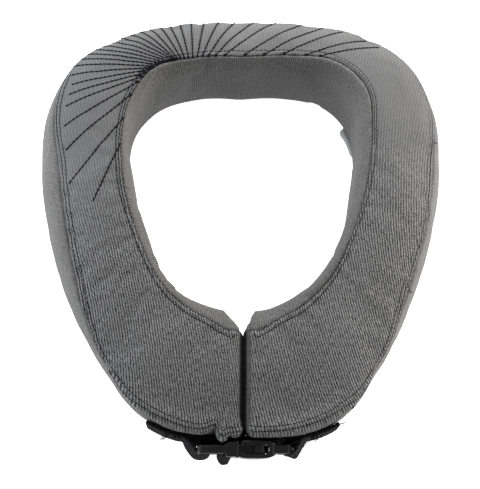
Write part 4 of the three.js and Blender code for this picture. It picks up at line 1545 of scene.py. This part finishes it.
class MakeRayStitches(bpy.types.Operator):
    """Stitches the fan of rays over the back left of the top panel"""
    bl_idname = "collar.make_ray_stitches"
    bl_label = "Ray Stitches"

    def execute(self, context):
        cover, sizes = sewn_cover(), context.scene.collar_sizes
        columns = cover.columns["top_panel"]
        grid = cover.outer[:, columns]
        tree = BVHTree.FromPolygons(grid.reshape(-1, 3).tolist(), grid_faces(*grid.shape[:2]).tolist())
        places, tacks = [], []
        for start, end in ray_lines():
            points, ups = [], []
            for share in np.linspace(0, 1, RAY_POINTS):
                x, y = start + share * (end - start)
                hit, normal, _, _ = tree.ray_cast(Vector((x, y, DROP_FROM)), Vector((0, 0, -1)))
                if hit is not None:
                    points.append(hit)
                    ups.append(normal if normal.z > 0 else -normal)
            if len(points) < 2:
                raise RuntimeError("a stitched ray misses the top panel")
            points, ups = np.array(points), np.array(ups)
            places += stitch_line(points, ups, RAY_PITCH * sizes.stitch / MM, RAY_SHARE)
            tacks += self.tack(points[0], ups[0], points[TACK["towards"]] - points[0])
        width = sizes.ray_thread / MM
        dressed(stitches("ray_stitches", places, width), stitching_thread(), "webbing")
        dressed(stitches("ray_tacks", tacks, TACK["width"] * width), stitching_thread(), "webbing")
        return {"FINISHED"}

    @staticmethod
    def tack(start, up, ahead):
        """Two heavy stitches over the rim rows at the start of a ray, turned towards the rim."""
        outwards = np.array([start[0], start[1] - NECK_CENTRE_Y, 0])
        way = unit(unit(ahead) + TACK["outwards"] * unit(outwards)) * np.interp(start[0], *TACK_REACH)
        aside = TACK["apart"] * unit(np.cross(up, way))
        middle = start + TACK["ahead"] * way + TACK["lift"] * up
        return [(middle + shift * aside, way, up) for shift in (-1, 1)]


# How the loose yarns scatter along their strap and turn, and the ranges of their places and sizes
FRAY = {"seed": 100, "scatter": 2, "ends": (0.1, 0.9), "along": 0.6, "any_way": 0.3, "across": (0.3, 0.48),
        "length": (0.6, 1.3), "radius": (0.25, 0.48)}

# The box of stitches on a sewn end, in rows of the strap and as a share of its width
SEWN_BOX = {"rows": (6, 46), "edge": 0.4, "pitch": 2.9, "points": 20}

# The strips' points where the webbing starts, lies double, and ends its double stretch
DOUBLED_POINTS = (0, 1, 4, 5)


class MakeStraps(bpy.types.Operator):
    """Weaves both straps along their routes, with sewn ends and frayed yarn"""
    bl_idname = "collar.make_straps"
    bl_label = "Straps"

    def execute(self, context):
        sizes = context.scene.collar_sizes
        width, thickness = sizes.webbing_width / MM, sizes.webbing / MM
        for seed, (name, plan) in enumerate(STRAPS.items()):
            rings, uv, ahead, face, up = webbing_rings(strap_route(plan, thickness), width)
            strap = lofted(name + "_webbing", rings, uv)
            dressed(strap, webbing_cloth(), "webbing", name)
            middle = rings.mean(axis=1)
            outwards = face * np.sign(face[0] @ (middle[0] * (1, 1, 0)))
            fray = self.frayed(plan["frays"], middle, outwards, ahead, up, width, seed)
            yarn = dressed(yarn_tubes(name + "_frayed_yarn", fray, seed), stitching_thread(), "webbing")
            box = self.sewn_box(middle, outwards, up, width, thickness)
            sewn = stitches(name + "_stitches", box, sizes.thread / MM)
            dressed(sewn, stitching_thread(), "webbing")
            self.sewn_strip(name, plan, width, thickness)
        return {"FINISHED"}

    @staticmethod
    def sewn_strip(name, plan, width, thickness):
        """The strip of the same webbing that runs on along the lobe to the slit."""
        double = plan["doubled"]
        thick = thickness * np.interp(np.arange(SEWN_POINTS), DOUBLED_POINTS, (1, double, double, 1))
        route = sewn_stretch(plan["side"], *plan["strip"], thick, STRIP_LEAN)
        band = route[-1][1]
        route += [(x, band + inwards, 0, 0, thin) for x, inwards, thin in plan["strip_end"]]
        rings, uv, _, _, _ = webbing_rings(route, width, STRIP_STEPS)
        strip = dressed(lofted(name + "_strip", rings, uv), webbing_cloth(), "webbing")

    @staticmethod
    def frayed(spots, middle, outwards, ahead, up, width, seed):
        """Yarns that stick out of a strap near its upper edge."""
        random = np.random.default_rng(FRAY["seed"] + seed)
        first, last = FRAY["ends"]
        starts = []
        for place, count, reach in spots:
            for _ in range(count):
                row = place * len(middle) + random.normal(0, FRAY["scatter"])
                row = int(np.clip(row, 0, len(middle) - 1))
                if first <= place <= last:
                    end = random.normal(0, FRAY["along"])
                else:
                    end = -1.0 if place < first else 1.0
                way = unit(outwards[row] + end * ahead[row] + random.normal(0, FRAY["any_way"], 3))
                start = middle[row] + random.uniform(*FRAY["across"]) * width * up[row]
                long = reach * random.uniform(*FRAY["length"])
                starts.append((start, way, long, random.uniform(*FRAY["radius"])))
        return starts

    @staticmethod
    def sewn_box(middle, outwards, up, width, thickness):
        """A box of stitches on the outer face of the sewn end."""
        places = []
        rows, edge = np.arange(*SEWN_BOX["rows"]), SEWN_BOX["edge"]
        for side in (-edge, edge):
            line = middle[rows] + side * width * up[rows] + thickness / 2 * outwards[rows]
            places += stitch_line(line, outwards[rows], SEWN_BOX["pitch"])
        for row in (rows[0], rows[-1]):
            span = np.linspace(-edge, edge, SEWN_BOX["points"])[:, None] * width * up[row]
            line = middle[row] + span + thickness / 2 * outwards[row]
            places += stitch_line(line, np.broadcast_to(outwards[row], line.shape), SEWN_BOX["pitch"])
        return places


# Finish of the buckle's solids, in millimetres and degrees
BUCKLE = {"weld": 0.02, "clean": 0.01, "edge": 0.45, "segments": 3, "angle": 40}


class MakeBuckle(bpy.types.Operator):
    """Finishes both halves of the side-release buckle as moulded plastic with softened edges"""
    bl_idname = "collar.make_buckle"
    bl_label = "Buckle"

    def execute(self, context):
        for name in ("buckle_plug", "buckle_socket"):
            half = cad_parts[name]
            half.data.materials.clear()
            half.data.materials.append(moulded_plastic())
            weld = half.modifiers.new("Weld", "WELD")
            weld.merge_threshold = BUCKLE["weld"] * MM
            soften = half.modifiers.new("Soft Edges", "BEVEL")
            soften.width = BUCKLE["edge"] * MM
            soften.segments = BUCKLE["segments"]
            soften.limit_method = "ANGLE"
            soften.angle_limit = math.radians(BUCKLE["angle"])
            soften.harden_normals = True
            clean = half.modifiers.new("Clean Corners", "WELD")
            clean.merge_threshold = BUCKLE["clean"] * MM
        return {"FINISHED"}


LABEL_STEPS = 30
BEND_POINTS = 9


class MakeLabel(bpy.types.Operator):
    """Folds the blank satin label that shows under the neck panel"""
    bl_idname = "collar.make_label"
    bl_label = "Label"

    def execute(self, context):
        half, cloth = LABEL["thickness"] / 2, LABEL["cloth"]
        middle = section_at(LABEL["angle"], 1.0)["neck"][0]
        spread = math.degrees(LABEL["length"] / middle) / 2
        outer, inner = self.folded(half), self.folded(half - cloth)
        faces, flat = ([], []), []
        for share in np.linspace(-1, 1, LABEL_STEPS):
            angle = LABEL["angle"] + share * spread
            radius = section_at(angle, 1.0)["neck"][0]
            near_end = np.clip((abs(share) - LABEL["corner_from"]) / (1 - LABEL["corner_from"]), 0, 1)
            corner = LABEL["corner"] * near_end**2
            lift = half + LABEL["lift"] + LABEL["wave"] * math.sin(LABEL["waves"] * share)
            hidden = (LABEL["reach"] - LABEL["front_reach"]) * (1 - share) / 2
            for face, fold in zip(faces, (outer, inner)):
                out = radius + fold[:, 0] + np.where(fold[:, 0] < 0, corner + hidden, 0)
                face.append(in_place(out, fold[:, 1] + lift, angle, 1.0))
            flat.append([(share * LABEL["length"] / 2, r) for r in outer[:, 0]])
        label = walled("label_tab_satin", *(np.array(face) for face in faces), np.array(flat))
        dressed(label, satin(), "label_satin", "label_tab")
        return {"FINISHED"}

    @staticmethod
    def folded(half):
        """Section of one face of the folded label, as distances out from the wall and up."""
        tip = LABEL["thickness"] / 2 - LABEL["reach"]
        turn = np.linspace(math.pi / 2, 1.5 * math.pi, BEND_POINTS)
        bend = np.stack([tip + half * np.cos(turn), half * np.sin(turn)], axis=-1)
        return np.concatenate([[(LABEL["tucked"], half)], bend, [(LABEL["tucked"], -half)]])


# Soft lights. Columns: name, place and size in metres, the stage's setting for its power, share of it, tint
LIGHTS = (
    ("left softbox", (-0.95, 0.35, 0.45), 0.8, "sides", 1.3, (0.98, 0.99, 1.0)),
    ("right softbox", (0.95, 0.3, 0.42), 0.8, "sides", 1.65, (1.0, 0.965, 0.92)),
    ("back softbox", (0.0, 1.15, 0.8), 1.0, "back", 1.0, (1.0, 1.0, 1.0)),
)
FLOOR_HALF = 4000
SENSOR = 36


class SetStage(bpy.types.Operator):
    """Sets the pale floor, the soft studio light and the camera"""
    bl_idname = "collar.set_stage"
    bl_label = "Stage"

    def execute(self, context):
        scene, stage = context.scene, context.scene.collar_stage
        self.floor(stage.floor, stage.glow)
        scene.view_settings.view_transform = "Standard"
        scene.world = bpy.data.worlds.new("studio")
        scene.world.use_nodes = True
        sky = scene.world.node_tree.nodes["Background"].inputs
        sky["Color"].default_value = (1, 1, 1, 1)
        sky["Strength"].default_value = stage.sky
        for name, place, size, setting, share, tint in LIGHTS:
            self.light(name, place, size, share * getattr(stage, setting), tint)
        self.camera(scene)
        return {"FINISHED"}

    @staticmethod
    def floor(shade, glow):
        corners = [(x * FLOOR_HALF, y * FLOOR_HALF, 0) for x, y in ((-1, -1), (1, -1), (1, 1), (-1, 1))]
        floor = make_piece("floor", corners, [(0, 1, 2, 3)])
        values = {"Base Color": (*shade, 1), "Roughness": 0.8, "Specular IOR Level": 0.0,
                  "Emission Color": (1, 1, 1, 1), "Emission Strength": glow}
        material, _, _ = new_material("floor", values)
        floor.data.materials.append(material)

    @staticmethod
    def light(name, place, size, power, tint):
        data = bpy.data.lights.new(name, "AREA")
        data.shape = "SQUARE"
        data.size = size
        data.energy = power
        data.color = tint
        lamp = bpy.data.objects.new(name, data)
        lamp.location = place
        lamp.rotation_euler = (-Vector(place)).to_track_quat("-Z", "Y").to_euler()
        bpy.context.scene.collection.objects.link(lamp)

    @staticmethod
    def camera(scene):
        data = bpy.data.cameras.new("camera")
        data.sensor_fit = "HORIZONTAL"
        data.sensor_width = SENSOR
        data.lens = data.sensor_width * FOCAL_PIXELS / IMAGE[0]
        forward = (TARGET - EYE).normalized()
        right = forward.cross(Vector((0, 0, 1))).normalized()
        up = right.cross(forward)
        cosine, sine = math.cos(ROLL), math.sin(ROLL)
        right, up = right * cosine - up * sine, right * sine + up * cosine
        off_x, off_y = TARGET_PIXEL[0] - IMAGE[0] / 2, TARGET_PIXEL[1] - IMAGE[1] / 2
        aim = (FOCAL_PIXELS * forward - off_x * right + off_y * up).normalized()
        right = (right - right.dot(aim) * aim).normalized()
        turn = Matrix((right, aim.cross(right) * -1, -aim)).transposed()
        camera = bpy.data.objects.new("camera", data)
        camera.matrix_world = Matrix.Translation(EYE * MM) @ turn.to_4x4()
        scene.collection.objects.link(camera)
        scene.camera = camera


STEPS = (MakeFoam, MakeCover, MakeEndPanels, MakeSeamStitches, MakeRayStitches,
         MakeStraps, MakeBuckle, MakeLabel, SetStage)


class CollarPanel(bpy.types.Panel):
    bl_idname = "VIEW3D_PT_collar"
    bl_label = "Racing Neck Collar"
    bl_space_type = "VIEW_3D"
    bl_region_type = "UI"
    bl_category = "Collar"

    def draw(self, context):
        layout, scene = self.layout, context.scene
        for step in STEPS:
            layout.operator(step.bl_idname)
        for group in (scene.collar_sizes, scene.collar_colours, scene.collar_stage):
            column = layout.column(align=True)
            for name in group.__annotations__:
                column.prop(group, name)


GROUPS = {"collar_sizes": CollarSizes, "collar_colours": CollarColours, "collar_stage": CollarStage}


def register():
    for kind in (*GROUPS.values(), *STEPS, CollarPanel):
        bpy.utils.register_class(kind)
    for name, kind in GROUPS.items():
        setattr(bpy.types.Scene, name, PointerProperty(type=kind))


def unregister():
    for name in GROUPS:
        delattr(bpy.types.Scene, name)
    for kind in (CollarPanel, *reversed(STEPS), *GROUPS.values()):
        bpy.utils.unregister_class(kind)


def main():
    register()
    for step in STEPS:
        family, name = step.bl_idname.split(".")
        getattr(getattr(bpy.ops, family), name)()
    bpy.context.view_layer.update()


if __name__ == "__main__":
    main()
